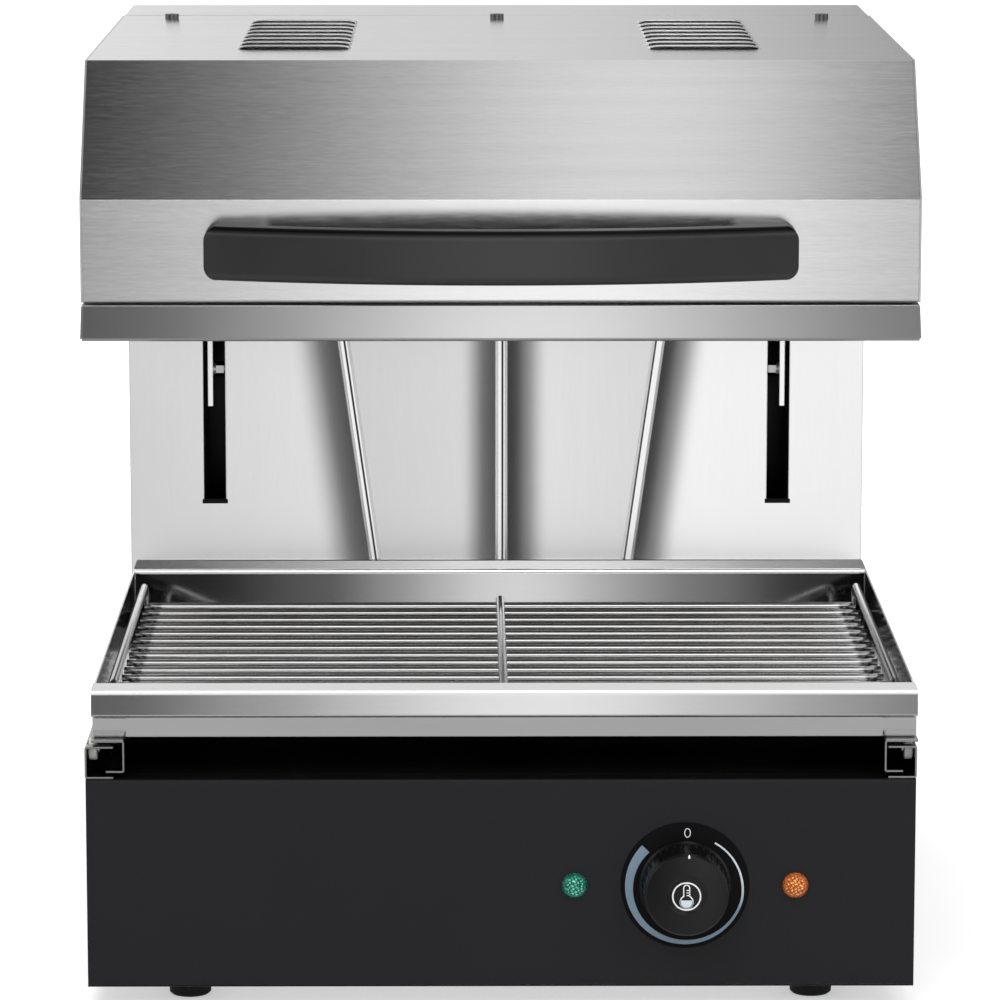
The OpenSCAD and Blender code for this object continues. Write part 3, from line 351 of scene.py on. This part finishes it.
def column_lean(g, normal):
    """The sheet is drawn in along its ribs, and each panel between them leans a little differently.
    Each rib has a bright crown with a dark crease."""
    x, _, z = g.split(g.place())
    x = g.minus(x, RIB_MID)
    side = g.math("SIGN", x)
    right = g.above(x, 0.0)
    across = g.absolute(x)
    away = g.minus(across, g.math("MULTIPLY_ADD", g.minus(z, TRAY_TOP), RIB_SPREAD, RIB_FOOT))
    beyond = g.above(away, 0.0)
    middle = g.below(across, MIDDLE_REACH)

    def of_side(pair):
        return g.between(right, *pair)

    outer = g.times(g.fall(away, 0.0, OUTER_WIDTH, smooth=True), beyond, of_side(OUTER_DRAW))
    inner = g.times(g.fall(across, INNER_FROM, of_side(INNER_TO), smooth=True), g.rest(beyond),
                    of_side(INNER_DRAW))
    panel = g.between(beyond, of_side(INNER_PANEL), of_side(OUTER_PANEL))
    sheet = g.plus(g.times(g.plus(outer, inner), side), panel)
    from_rib = g.between(middle, g.times(away, side), x)
    on_rib = g.fall(g.absolute(from_rib), RIB_HALF, RIB_HALF + RIB_EDGE)
    from_crease = g.minus(from_rib, g.between(middle, of_side(CREASE_AT), MIDDLE_CREASE_AT))
    crease = g.fall(g.absolute(from_crease), CREASE_HALF, CREASE_END)
    crown = g.between(crease, g.between(middle, of_side(RIB_CROWN), MIDDLE_CROWN), CREASE_LEAN)
    return g.join(g.between(on_rib, sheet, crown), 0.0,
                  g.times(facing_front(g, normal), COLUMN_LIFT))


TRAY_FRONT_PART = 0.03          # the lip, the band under it and the flange behind it
TRAY_RIM_PART = 0.03            # the rim along the back
FOLD_DEPTH = 0.006              # how far down the folds reach
BAND_GAP = 0.0003               # the band starts this far under the lip's lower edge
# parts of the normal at which a face begins to count as flat and fully does so; the pairs are for
# the front of the tray and for the rest of it
FLAT_UP_FROM, FLAT_UP_FULL = (0.78, 0.97), (0.88, 0.99)
FLAT_AHEAD_FROM, FLAT_AHEAD_FULL = -0.97, -0.99
FOLD_AHEAD = -0.2               # a fold looks at least this much to the front
# crown, lean to the rear and lift of each part of the tray
TRAY_LEANS = {
    "lip": (0.5, 0.0, 0.0),
    "band": (0.0, 0.0, -0.15),
    "walls": (1.20, 0.0, 0.20),
    "rim": (0.8, -1.6, -0.6),
    "flange": (-1.0, -5.4, -0.3),
    "fold": (-1.0, -5.4, 1.3),
}


def tray_lean(g, normal):
    """Every part of the tray is crowned and leans in its own way, and the folds along the lip and
    the rear rim catch the strip light."""
    x, y, z = g.split(g.place())
    _, forward, up = g.split(normal)
    ahead = g.below(y, TRAY_FRONT + TRAY_FRONT_PART)
    behind = g.rest(ahead)
    flat_up = g.span(up, g.between(behind, *FLAT_UP_FROM), g.between(behind, *FLAT_UP_FULL))
    flat = g.larger(g.span(forward, FLAT_AHEAD_FROM, FLAT_AHEAD_FULL), flat_up)
    high = g.times(g.above(z, TRAY_TOP - FOLD_DEPTH), g.below(forward, FOLD_AHEAD))
    fold = g.times(g.rest(flat), high)
    unfolded = g.rest(fold)
    front = g.times(facing_front(g, normal), unfolded)
    top = g.times(facing_up(g, normal), unfolded)
    band = g.times(ahead, g.below(z, LIP_LOW - BAND_GAP))
    parts = {
        "lip": g.times(front, g.minus(ahead, band)),
        "band": g.times(front, band),
        "walls": g.times(front, behind),
        "rim": g.times(top, g.above(y, TRAY_BACK - TRAY_RIM_PART)),
        "flange": g.times(top, ahead),
        "fold": fold,
    }

    def total(axis):
        return g.plus(*[g.times(parts[name], leans[axis])
                        for name, leans in TRAY_LEANS.items() if leans[axis]])

    return g.join(g.times(g.minus(x, TRAY_MID), total(0)), total(1), total(2))


FLOOR_DEPTH = 0.003             # thickness that counts as the tray's floor
# painted shade: the tones of the flange, the rim, the walls and the side walls
FLANGE_TONE, RIM_TONE, WALL_TONE, SIDE_WALL_TONE = 0.79, 0.95, 0.62, 0.3
# the floor's stains and painted shade: spots per metre, and its darkest and lightest tone
STAINS, FLOOR_DARKEST, FLOOR_LIGHTEST = 30.0, 0.65, 0.95


def tray_shade(g, normal):
    """The tray's floor is stained and darkened as painted shade under the rods, its walls are
    painted darker as shade, those at the sides most, and its flange and rim are painted a little
    darker."""
    _, y, z = g.split(g.place())
    top = facing_up(g, normal)
    behind = g.above(y, TRAY_FRONT + TRAY_FRONT_PART)
    floor = g.times(top, g.below(z, TRAY_LOW + FLOOR_DEPTH))
    sideways = g.absolute(g.split(normal)[0])
    # painted shade on the walls, darkest at the sides, and on the flange and the rim
    walls = g.times(g.fall(sideways, FACING_FROM, FACING_FULL, SIDE_WALL_TONE), WALL_TONE)
    rims = g.between(behind, g.between(top, 1.0, FLANGE_TONE), g.between(top, walls, RIM_TONE))
    # the floor: stains together with painted shade under the rods
    stain_and_shade = g.span(g.noise(STAINS, detail=5.0), 0.35, 0.65, FLOOR_DARKEST, FLOOR_LIGHTEST)
    return g.between(floor, rims, stain_and_shade)


# painted shade on the covers' inner faces
INSIDE_SHADE_FROM, INSIDE_SHADE_FULL, INSIDE_SHADE_TONE = -0.3, -0.7, 0.03


def painted_inside_shade(g, normal):
    """The covers' inner faces, which face the front, are painted dark as shade inside the grill."""
    return g.fall(g.split(normal)[1], INSIDE_SHADE_FROM, INSIDE_SHADE_FULL, INSIDE_SHADE_TONE)


# painted shade on the grid's side bars
BAR_FROM, BAR_FULL, BAR_SHADE_TONE = 0.2045, 0.2065, 0.55     # metres from the tray's middle


def painted_bar_shade(g, normal):
    """The grid's side bars are painted darker than its rods, as shade that dims what they reflect.
    """
    x = g.split(g.place())[0]
    return g.fall(g.absolute(g.minus(x, TRAY_MID)), BAR_FROM, BAR_FULL, BAR_SHADE_TONE)


ARM_LIFT = 0.10


def arm_lean(g, normal):
    """The arms' rolled front edges lean back a little."""
    return g.join(0.0, 0.0, g.times(facing_front(g, normal), ARM_LIFT))


# painted shade on the rails' sides, and painted light on their front ends and tops
RAIL_SHADE_TONE, RAIL_END_LIGHT_TONE, RAIL_TOP_LIGHT_TONE = 0.10, 0.55, 0.6
RAIL_END_FROM, RAIL_END_FULL = -0.5, -0.95
RAIL_TOP_FROM, RAIL_TOP_FULL = 0.6, 0.9


def rail_painted_light(g, normal):
    """Rolled rails, painted dark as shade on their sides, with painted light on the cut ends that
    face the front and on their tops."""
    _, ahead, up = g.split(normal)
    return g.larger(g.span(ahead, RAIL_END_FROM, RAIL_END_FULL, RAIL_SHADE_TONE, RAIL_END_LIGHT_TONE),
                    g.span(up, RAIL_TOP_FROM, RAIL_TOP_FULL, RAIL_SHADE_TONE, RAIL_TOP_LIGHT_TONE))


dress(steel("hood_brushed_steel", tone=0.95, rough=0.19, grain=0.6, lean=hood_lean),
      "hood_shell", "column_top")
dress(steel("rear_brushed_steel", tone=0.80, rough=0.30, shade=painted_inside_shade),
      "rear_cover", "base_pan", "hood_back")
dress(steel("side_brushed_steel", tone=0.80, rough=0.30, along="Y"),
      "side_panel_left", "side_panel_right", "hood_cheek_left", "hood_cheek_right")
dress(steel("column_bright_steel", tone=0.86, rough=0.14, along="Z", grain=0.10, edge=0.0008,
            lean=column_lean),
      "column_front")
dress(steel("skirt_bright_steel", tone=0.61, rough=0.13, grain=0.15, lean=skirt_lean),
      "hood_skirt")
dress(steel("tray_bright_steel", tone=0.84, rough=0.10, grain=0.12, lean=tray_lean,
            shade=tray_shade),
      "tray_pan")
dress(steel("reflector_steel", tone=0.60, rough=0.25, grain=0.3, tint=(1.0, 0.96, 0.90)),
      "reflector", "element_supports")
dress(steel("rail_steel", tone=0.60, rough=0.22, along="Y", grain=0.3, edge=0.0003,
            shade=rail_painted_light),
      "fixed_rail_left", "fixed_rail_right", "slide_rail_left", "slide_rail_right")
dress(steel("zinc_plated_steel", tone=0.62, rough=0.33, along="Y", grain=0.3,
            tint=(0.97, 1.0, 1.03)),
      "pulley_brackets", "carriage_bar", "pulley_shaft")
# the guide channels are painted nearly black, as shade inside the column
dress(steel("guide_steel_painted_shade", tone=0.015, rough=0.45, along="Z"),
      "guide_channel_left", "guide_channel_right")
dress(steel("arm_steel", tone=0.90, rough=0.16, along="Z", grain=0.2, lean=arm_lean),
      "arm_left", "arm_right")
dress(steel("screw_steel", tone=0.66, rough=0.25, grain=0.2, edge=0.0002),
      "foot_screws", "cabinet_screws", "rail_screws", "handle_screws", "roller_bolts",
      "weight_eyes", "thermostat_spindle")
dress(steel("dark_screw_steel", tone=0.22, rough=0.30, grain=0.2, edge=0.0002), "roof_screws")
dress(steel("grid_chrome", tone=0.86, rough=0.10, grain=0.1, edge=0.0001, shade=painted_bar_shade),
      "wire_grid")


# ---------- painted, moulded and cast pieces ----------

# painted shade on the grip's top, where its gloss is turned down too
GRIP_TOP_FROM, GRIP_TOP_FULL, GRIP_TOP_SHARE = 0.3, 0.75, 0.10


def painted_top_shade_and_gloss(g, normal):
    """The grip's top is painted darker as shade and its gloss is turned down there, while its front
    keeps full gloss.
    """
    return g.fall(g.split(normal)[2], GRIP_TOP_FROM, GRIP_TOP_FULL, GRIP_TOP_SHARE)


# where the knob's face is highest, from its middle, and its crown sideways and upwards
KNOB_TOP_X, KNOB_TOP_Z = 0.009, 0.010
KNOB_CROWN_X, KNOB_CROWN_Z = 9.0, 4.0


def knob_lean(g, normal):
    """The knob's face is domed a little, highest towards its upper right."""
    x, _, z = g.split(g.place())
    front = facing_front(g, normal)
    return g.join(g.times(front, g.minus(x, KNOB_X + KNOB_TOP_X), KNOB_CROWN_X), 0.0,
                  g.times(front, g.minus(z, KNOB_Z + KNOB_TOP_Z), KNOB_CROWN_Z))


# painted shade on the top of the fascia's fold
FASCIA_TOP_FROM, FASCIA_TOP_FULL, FASCIA_TOP_SHARE = 0.5, 0.9, 0.25


def painted_fascia_top_shade(g, normal):
    """The fold on top of the fascia is painted darker, as shade under the tray."""
    return g.fall(g.split(normal)[2], FASCIA_TOP_FROM, FASCIA_TOP_FULL, FASCIA_TOP_SHARE)


dress(plain("black_enamel", (0.0130, 0.0133, 0.0150), rough=0.42, specular=0.22, spot=1400.0,
            variation=0.08, bump=0.10, worn=grey(0.05), shade=painted_fascia_top_shade),
      "fascia")
# the deck under the tray is a darker, duller copy of the black enamel: painted shade
dress(plain("deck_enamel_painted_shade", (0.0030, 0.0030, 0.0034), rough=0.55, specular=0.08, spot=1400.0,
            variation=0.08),
      "deck")
dress(plain("black_plastic", (0.022, 0.022, 0.0225), rough=0.34, specular=0.65, spot=2200.0,
            variation=0.10, bump=0.2, shade=painted_top_shade_and_gloss, shine=painted_top_shade_and_gloss),
      "handle", "cable_gland")
dress(plain("knob_plastic", (0.0045, 0.0045, 0.0050), rough=0.30, specular=0.45, spot=2600.0,
            variation=0.08, lean=knob_lean),
      "knob")
dress(plain("dial_film", (0.0040, 0.0040, 0.0045), rough=0.40, specular=0.08, variation=0.05),
      "dial_plate")
dress(plain("black_rubber", (0.012, 0.012, 0.012), rough=0.7, specular=0.25, spot=500.0,
            variation=0.2, bump=0.4),
      "feet", "slot_buffers")
dress(plain("white_nylon", (0.78, 0.77, 0.73), rough=0.4, variation=0.04),
      "lamp_bodies", "terminal_block", "thermostat_body", "rail_rollers_front",
      "rail_rollers_rear")
dress(plain("grey_nylon", (0.055, 0.055, 0.058), rough=0.4, variation=0.06),
      "guide_rollers_upper", "guide_rollers_lower")
dress(plain("ceramic_fibre", (0.80, 0.78, 0.72), rough=0.9, spot=300.0, variation=0.08, bump=0.8,
            depth=0.0006),
      "insulation")
dress(plain("cast_iron", (0.06, 0.06, 0.063), rough=0.6, metallic=0.3, spot=350.0, variation=0.25,
            bump=0.6, depth=0.0003),
      "counterweight", "pulleys")
dress(plain("element_sheath", (0.10, 0.085, 0.075), rough=0.5, metallic=0.7, spot=900.0,
            variation=0.3, bump=0.3),
      "heating_elements")


ROPE_X = 0.06                           # each rope runs this far from the middle
LAY_ALONG, LAY_ROUND = 1800.0, 6.0      # the twist's phase per metre, and per radian of the bend


def rope_material():
    """Steel rope, with light and dark strands wound round it."""
    made, g = material("steel_rope")
    x, y, z = g.split(g.place())
    turn = g.math("ARCTAN2", g.minus(g.absolute(x), ROPE_X), y)
    lay = g.math("SINE", g.math("MULTIPLY_ADD", z, LAY_ALONG, g.times(turn, LAY_ROUND)))
    tone = g.mix(g.span(lay, -1.0, 1.0), grey(0.18), grey(0.6))
    g.principled(Base_Color=tone, Metallic=1.0, Roughness=0.35,
                 Normal=g.bump(lay, 0.6, 0.0002, g.bevel(0.0001)))
    return made


dress(rope_material(), "rope_bends", "ropes_front", "ropes_rear")


PRISM_TILT, PRISM_PITCH, PRISM_DEPTH = math.radians(28), 0.0019, 0.0004
WANDER_SPOTS, WANDER = 420.0, 1.6       # how often and how far the rows of prisms stray
CORE_R, CORE_END_R, RIM_GLOW = 0.0046, 0.0056, 0.12
RING_R, RING_SHARE = ((0.0053, 0.0055), (0.0061, 0.0059)), 0.14


def lens_material(name, dark, bright, glint):
    """A moulded lens: rows of little round prisms inside a plain rim with a faint ring on it, and
    painted glints on the prisms' tops.
    """
    made, g = material(name)
    low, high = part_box(name)
    x, _, z = g.split(g.place())
    u = g.minus(x, (low.x + high.x) / 2)
    v = g.minus(z, (low.z + high.z) / 2)
    step_x, step_z = math.cos(PRISM_TILT) / PRISM_PITCH, math.sin(PRISM_TILT) / PRISM_PITCH
    a = g.plus(g.times(u, step_x), g.times(v, step_z))
    b = g.plus(g.times(u, -step_z), g.times(v, step_x))
    wander = g.times(g.minus(g.noise(WANDER_SPOTS, detail=1.0), 0.5), WANDER)
    bead = g.times(g.absolute(g.math("SINE", g.times(g.plus(a, wander), math.pi))),
                   g.absolute(g.math("SINE", g.times(g.minus(b, wander), math.pi))))
    speckle = g.noise(900.0, detail=2.0)
    radius = g.math("SQRT", g.plus(g.times(u, u), g.times(v, v)))
    core = g.fall(radius, CORE_R, CORE_END_R, RIM_GLOW, smooth=True)
    share = g.times(g.span(bead, 0.15, 0.85, smooth=True), core,
                    g.vary(speckle, 0.55, 1.25))
    # painted highlights: glints on the prisms' tops, in the glint colour
    painted_glints = g.times(g.span(bead, 0.8, 1.0), core, g.span(speckle, 0.45, 0.6, 0.0, 0.8))
    ring = g.times(g.span(radius, *RING_R[0]), g.span(radius, *RING_R[1]), RING_SHARE)
    tone = g.mix(ring, g.mix(painted_glints, g.mix(share, dark, bright), glint), bright)
    g.principled(Base_Color=tone, Roughness=0.12, Emission_Color=tone, Emission_Strength=0.22,
                 Coat_Weight=0.5,
                 Normal=g.bump(g.times(bead, core), 0.5, PRISM_DEPTH, g.bevel(0.0003)))
    return made


dress(lens_material("green_lens", dark=(0.0, 0.045, 0.03, 1.0), bright=(0.05, 0.50, 0.33, 1.0),
                    glint=(0.45, 0.95, 0.80, 1.0)), "green_lens")
dress(lens_material("amber_lens", dark=(0.22, 0.040, 0.003, 1.0), bright=(1.0, 0.36, 0.07, 1.0),
                    glint=(1.0, 0.78, 0.45, 1.0)), "amber_lens")


# ---------- printed marks ----------

INK_TEXTURE = dict(rough=0.5, variation=0.04, edge=0.0001)
print_white = plain("print_white", (0.80, 0.81, 0.83), **INK_TEXTURE)
print_pale = plain("print_pale", srgb(205, 214, 221), **INK_TEXTURE)
SCALE_BLUE, SCALE_PALE = srgb(120, 141, 158), srgb(215, 223, 228)
SCALE_BLUE_AT, SCALE_PALE_AT = 0.012, 0.040     # to the right plus up, from the knob's middle


def scale_colour():
    """The scale's ink runs from nearly white at its thin end to a grey blue."""
    made, g = material("print_scale")
    x, _, z = g.split(g.place())
    share = g.span(g.plus(x, z), KNOB_X + KNOB_Z + SCALE_BLUE_AT, KNOB_X + KNOB_Z + SCALE_PALE_AT,
                   smooth=True)
    tone = g.mix(share, SCALE_BLUE, SCALE_PALE)
    fine = g.noise(1800.0, detail=2.0)
    g.principled(Base_Color=g.vector("SCALE", tone, g.vary(fine, 0.95, 1.05)),
                 Roughness=0.5)
    return made


print_scale = scale_colour()
INK = 0.00006           # thickness of the print


def printed(name, rings, made, body, y, closed=True):
    """A thin printed shape between two lines of (x, z) points, or filled inside the only one."""
    mesh = bpy.data.meshes.new(name)
    b = bmesh.new()
    lines = [[b.verts.new((px, y, pz)) for px, pz in line] for line in rings]
    if len(lines) == 1:
        b.faces.new(lines[0])
    else:
        outer, inner = lines
        count = len(outer)
        for i in range(count if closed else count - 1):
            j = (i + 1) % count
            b.faces.new((outer[i], outer[j], inner[j], inner[i]))
    for v in bmesh.ops.extrude_face_region(b, geom=list(b.faces))["geom"]:
        if isinstance(v, bmesh.types.BMVert):
            v.co.y -= INK
    bmesh.ops.recalc_face_normals(b, faces=b.faces)
    b.to_mesh(mesh)
    b.free()
    mesh.materials.append(made)
    piece = bpy.data.objects.new(name, mesh)
    bpy.context.scene.collection.objects.link(piece)
    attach(piece, body)


def arc(cx, cz, radius, start, stop, count, tall=1.0):
    """Points on an arc in degrees, stretched upwards by tall. radius is a number or a function of
    the share of the way along the arc."""
    points = []
    for i in range(count + 1):
        t = i / count
        angle = math.radians(start + (stop - start) * t)
        r = radius(t) if callable(radius) else radius
        points.append((cx + r * math.cos(angle), cz + tall * r * math.sin(angle)))
    return points


def loop(cx, cz, radius, tall=1.0, count=48):
    return arc(cx, cz, radius, 0.0, 360.0 - 360.0 / count, count - 1, tall)


# the scale's arc runs clockwise from the upper right to the upper left, and grows as it goes
SCALE_START, SCALE_STOP, SCALE_STEPS = 56.0, -224.0, 120
SCALE_Z = KNOB_Z - 0.0003
SCALE_R, SCALE_RISE, RISE_SHARE = 0.0292, 0.0034, 0.25
SCALE_THIN, SCALE_GROWTH, GROWTH_POWER = 0.0009, 0.0047, 1.8


def scale_out(t):
    return SCALE_R + SCALE_RISE * min(1.0, t / RISE_SHARE)


def scale_in(t):
    return scale_out(t) - SCALE_THIN - SCALE_GROWTH * t ** GROWTH_POWER


printed("dial_arc",
        [arc(KNOB_X, SCALE_Z, radius, SCALE_START, SCALE_STOP, SCALE_STEPS)
         for radius in (scale_out, scale_in)],
        print_scale, "cabinet", DIAL_Y, closed=False)

ZERO_X, ZERO_Z = KNOB_X + 0.0012, KNOB_Z + 0.0292
ZERO_OUT, ZERO_IN = (0.0018, 1.45), (0.0013, 1.65)      # radius and how tall it is drawn
printed("dial_zero", [loop(ZERO_X, ZERO_Z, *ZERO_OUT), loop(ZERO_X, ZERO_Z, *ZERO_IN)],
        print_white, "cabinet", DIAL_Y)

# a thermometer in a ring on the knob's dished middle
FACE_Y = KNOB_LOW.y + 0.00140
SIGN_Z = KNOB_Z - 0.0009                # the sign stands a little below the knob's middle
RING_OUT, RING_IN = 0.0079, 0.0071
printed("knob_ring", [loop(KNOB_X, SIGN_Z, RING_OUT), loop(KNOB_X, SIGN_Z, RING_IN)],
        print_white, "knob", FACE_Y)

BULB_R, BULB_Z = 0.0038, SIGN_Z - 0.0031
STEM_R, STEM_TOP = 0.0019, SIGN_Z + 0.0047
GLASS = 0.0006                          # width of the thermometer's outline
FILL_GAP = 0.0002


def thermometer(inset):
    """Outline of a bulb with a round-topped stem, drawn inside the given inset."""
    bulb, stem = BULB_R - inset, STEM_R - inset
    gap = math.degrees(math.asin(stem / bulb))
    return (arc(KNOB_X, STEM_TOP, stem, 0.0, 180.0, 12)
            + arc(KNOB_X, BULB_Z, bulb, 90.0 + gap, 450.0 - gap, 36))


printed("knob_thermometer", [thermometer(0.0), thermometer(GLASS)],
        print_white, "knob", FACE_Y)
printed("knob_thermometer_fill", [arc(KNOB_X, BULB_Z, BULB_R - FILL_GAP, 165.0, 375.0, 30)],
        print_pale, "knob", FACE_Y)

MARK_LEFT, MARK_RIGHT = KNOB_X - 0.0001, KNOB_X + 0.0015
MARK_FIRST, MARK_STEP, MARK_THICK = SIGN_Z + 0.0003, 0.0014, 0.0005
for k in range(3):
    z = MARK_FIRST + MARK_STEP * k
    mark = [(MARK_LEFT, z), (MARK_RIGHT, z), (MARK_RIGHT, z + MARK_THICK),
            (MARK_LEFT, z + MARK_THICK)]
    printed("knob_mark_%d" % (k + 1), [mark], print_white, "knob", FACE_Y)

# the pointer, a short white drop near the knob's edge
POINTER_X, POINTER_LOW, POINTER_HIGH = KNOB_X + 0.0012, KNOB_Z + 0.0209, KNOB_Z + 0.0224
DROP_R, DROP_TIP = 0.0006, 0.0003
drop = arc(POINTER_X, POINTER_LOW, DROP_R, 180.0, 360.0, 10) + [
    (POINTER_X + DROP_TIP, POINTER_HIGH), (POINTER_X - DROP_TIP, POINTER_HIGH)]
printed("knob_pointer", [drop], print_white, "knob", KNOB_LOW.y + 0.00002)


# ---------- studio ----------

# the floor glows less beside the grill, a painted darkening round it
NEAR_GLOW, FAR_GLOW = 0.42, 0.8         # the floor's own light beside the grill and farther off
NEAR_R, FAR_R = 0.3, 1.2
FLOOR_SIDE, FLOOR_BACK = 9, 14


def floor_material():
    """White for the rays that look at it, with the grill's shadow kept beside the grill, where its
    glow is turned down as painted shade.
    """
    made, g = material("pale_floor")
    path = g.node("LightPath").outputs
    seen = g.larger(g.larger(path["Is Camera Ray"], path["Is Glossy Ray"]),
                    path["Is Transmission Ray"])
    away = g.vector("LENGTH", g.place(), out=1)
    light = g.times(seen, g.span(away, NEAR_R, FAR_R, NEAR_GLOW, FAR_GLOW, smooth=True))
    tone = g.mix(g.noise(6.0), grey(0.79), grey(0.80))
    diffuse = g.node("BsdfDiffuse", inputs={"Color": tone}).outputs[0]
    glow = g.node("Emission", inputs={"Color": grey(1.0), "Strength": light}).outputs[0]
    both = g.node("AddShader", inputs={0: diffuse, 1: glow}).outputs[0]
    g.put(g.out.inputs["Surface"], both)
    return made


mesh = bpy.data.meshes.new("floor")
mesh.from_pydata([(-FLOOR_SIDE, -FLOOR_SIDE, 0), (FLOOR_SIDE, -FLOOR_SIDE, 0),
                  (FLOOR_SIDE, FLOOR_BACK, 0), (-FLOOR_SIDE, FLOOR_BACK, 0)], [], [(0, 1, 2, 3)])
mesh.materials.append(floor_material())
floor = bpy.data.objects.new("floor", mesh)
bpy.context.scene.collection.objects.link(floor)
floor.visible_glossy = False            # steel mirrors the studio instead


def soft_light(name, place, aim, size, power):
    """A rectangle of light, seen neither by the camera nor in the steel."""
    lamp = bpy.data.lights.new(name, "AREA")
    lamp.shape = "RECTANGLE"
    lamp.size, lamp.size_y = size
    lamp.energy = power
    made = bpy.data.objects.new(name, lamp)
    bpy.context.scene.collection.objects.link(made)
    made.location = place
    made.rotation_euler = (Vector(aim) - Vector(place)).to_track_quat("-Z", "Y").to_euler()
    made.visible_camera = False
    made.visible_glossy = False


soft_light("key_light", place=(-0.7, -1.9, 2.2), aim=(0, 0, 0.25), size=(1.6, 1.2), power=34)
soft_light("fill_light", place=(1.6, -1.6, 1.4), aim=(0, 0, 0.25), size=(1.4, 1.4), power=16)
soft_light("back_light", place=(0.2, 1.8, 2.2), aim=(0, 0, 0.3), size=(1.6, 1.0), power=14)

# What the steel mirrors, a light tent: a bright front between two dark flags, a pale rear and an
# overhead screen. Front and rear stops are degrees to the right of straight ahead, height stops
# degrees upwards, and overhead stops the direction's slope to the right.
FRONT_STOPS = [(-90, 0.65), (-56, 0.38), (-38, 0.02), (-28, 0.02), (-16, 0.12), (-9.4, 0.37),
               (-5.4, 0.606), (-1.4, 0.83), (2.1, 0.91), (5.1, 0.84), (9.3, 0.606), (14, 0.39),
               (18, 0.24), (29, 0.04), (38, 0.02), (56, 0.38), (90, 0.65)]
HEIGHT_STOPS = [(-11, 1.0), (-8, 1.32), (-6.3, 1.42), (-4.5, 1.40), (-1, 1.20), (3, 1.24),
                (8, 1.5), (12, 1.45), (16, 0.95)]
REAR_STOPS = [(-90, 0.50), (-12, 0.95), (0, 0.66), (12, 0.10), (90, 0.35)]
OVER_STOPS = [(-1.0, 0.10), (-0.4, 0.0), (-0.28, 0.02), (-0.16, 0.18), (-0.06, 0.44),
              (0.04, 0.74), (0.12, 0.82), (0.2, 0.64), (0.29, 0.24), (0.5, 0.04), (1.0, 0.20)]
# between which heights the overhead screen and the ground take over, and how far ahead or behind
# the front, the strip and the rear do; the screen's slope counts no flatter direction than this
OVER_FROM, OVER_FULL, OVER_FLATTEST = 25.0, 48.0, 0.1
BELOW_FROM, BELOW_FULL, BELOW_LEVEL = -20.0, -25.0, 0.43
FRONT_END, REAR_START = -0.2, 0.2
STRIP_AHEAD_FROM, STRIP_AHEAD_FULL = -0.1, -0.3
# a long strip light above the camera draws the white lines along the folds and rods
STRIP_HEIGHT, STRIP_HALF, STRIP_END, STRIP_LEVEL = 24.0, 2.5, 3.5, 1.8
WHITE, ROOM = 1.0, 0.62                 # what the camera sees, and what lights matt surfaces


def studio_world():
    world = bpy.data.worlds.new("studio")
    bpy.context.scene.world = world
    world.use_nodes = True
    g = Graph(world.node_tree, "OutputWorld")
    path = g.node("LightPath").outputs
    x, y, z = g.split(g.vector("NORMALIZE", g.node("TexCoord").outputs["Generated"]))
    height = g.math("DEGREES", g.math("ARCSINE", z))
    ahead = g.math("DEGREES", g.math("ARCTAN2", x, g.absolute(y)))
    front = g.times(g.ramp(ahead, FRONT_STOPS), g.ramp(height, HEIGHT_STOPS))
    rear = g.ramp(ahead, REAR_STOPS)
    level = g.between(g.span(y, FRONT_END, REAR_START, smooth=True), front, rear)
    slope = g.math("DIVIDE", x, g.larger(z, OVER_FLATTEST))
    level = g.between(g.span(height, OVER_FROM, OVER_FULL, smooth=True), level,
                      g.ramp(slope, OVER_STOPS))
    level = g.between(g.span(height, BELOW_FROM, BELOW_FULL, smooth=True), level, BELOW_LEVEL)
    strip = g.times(g.fall(g.absolute(g.minus(height, STRIP_HEIGHT)), STRIP_HALF, STRIP_END),
                    g.span(y, STRIP_AHEAD_FROM, STRIP_AHEAD_FULL))
    level = g.plus(level, g.times(strip, STRIP_LEVEL))
    seen = g.larger(path["Is Camera Ray"], path["Is Transmission Ray"])
    strength = g.between(path["Is Glossy Ray"], g.between(seen, ROOM, WHITE), level)
    glow = g.node("Background", inputs={"Color": grey(1.0), "Strength": strength})
    g.put(g.out.inputs["Surface"], glow.outputs[0])


studio_world()

# ---------- camera, fitted to the straight edges that the photograph shows ----------

PICTURE, FOCAL, SENSOR = 1000.0, 5204.0, 36.0       # two in pixels, and millimetres
CAMERA_PLACE = (-0.0200, FASCIA_Y - 2.7535, 0.7471)
CAMERA_DOWN, CAMERA_ROLL, CAMERA_TURN = 9.61, -0.02, -0.40      # degrees

lens = bpy.data.cameras.new("camera")
lens.sensor_width = SENSOR
lens.lens = FOCAL / PICTURE * lens.sensor_width
lens.clip_start, lens.clip_end = 0.1, 60.0
camera = bpy.data.objects.new("camera", lens)
bpy.context.scene.collection.objects.link(camera)
camera.location = CAMERA_PLACE
camera.rotation_euler = [math.radians(angle)
                         for angle in (90.0 - CAMERA_DOWN, CAMERA_ROLL, CAMERA_TURN)]
bpy.context.scene.camera = camera
bpy.context.scene.view_settings.view_transform = "Standard"
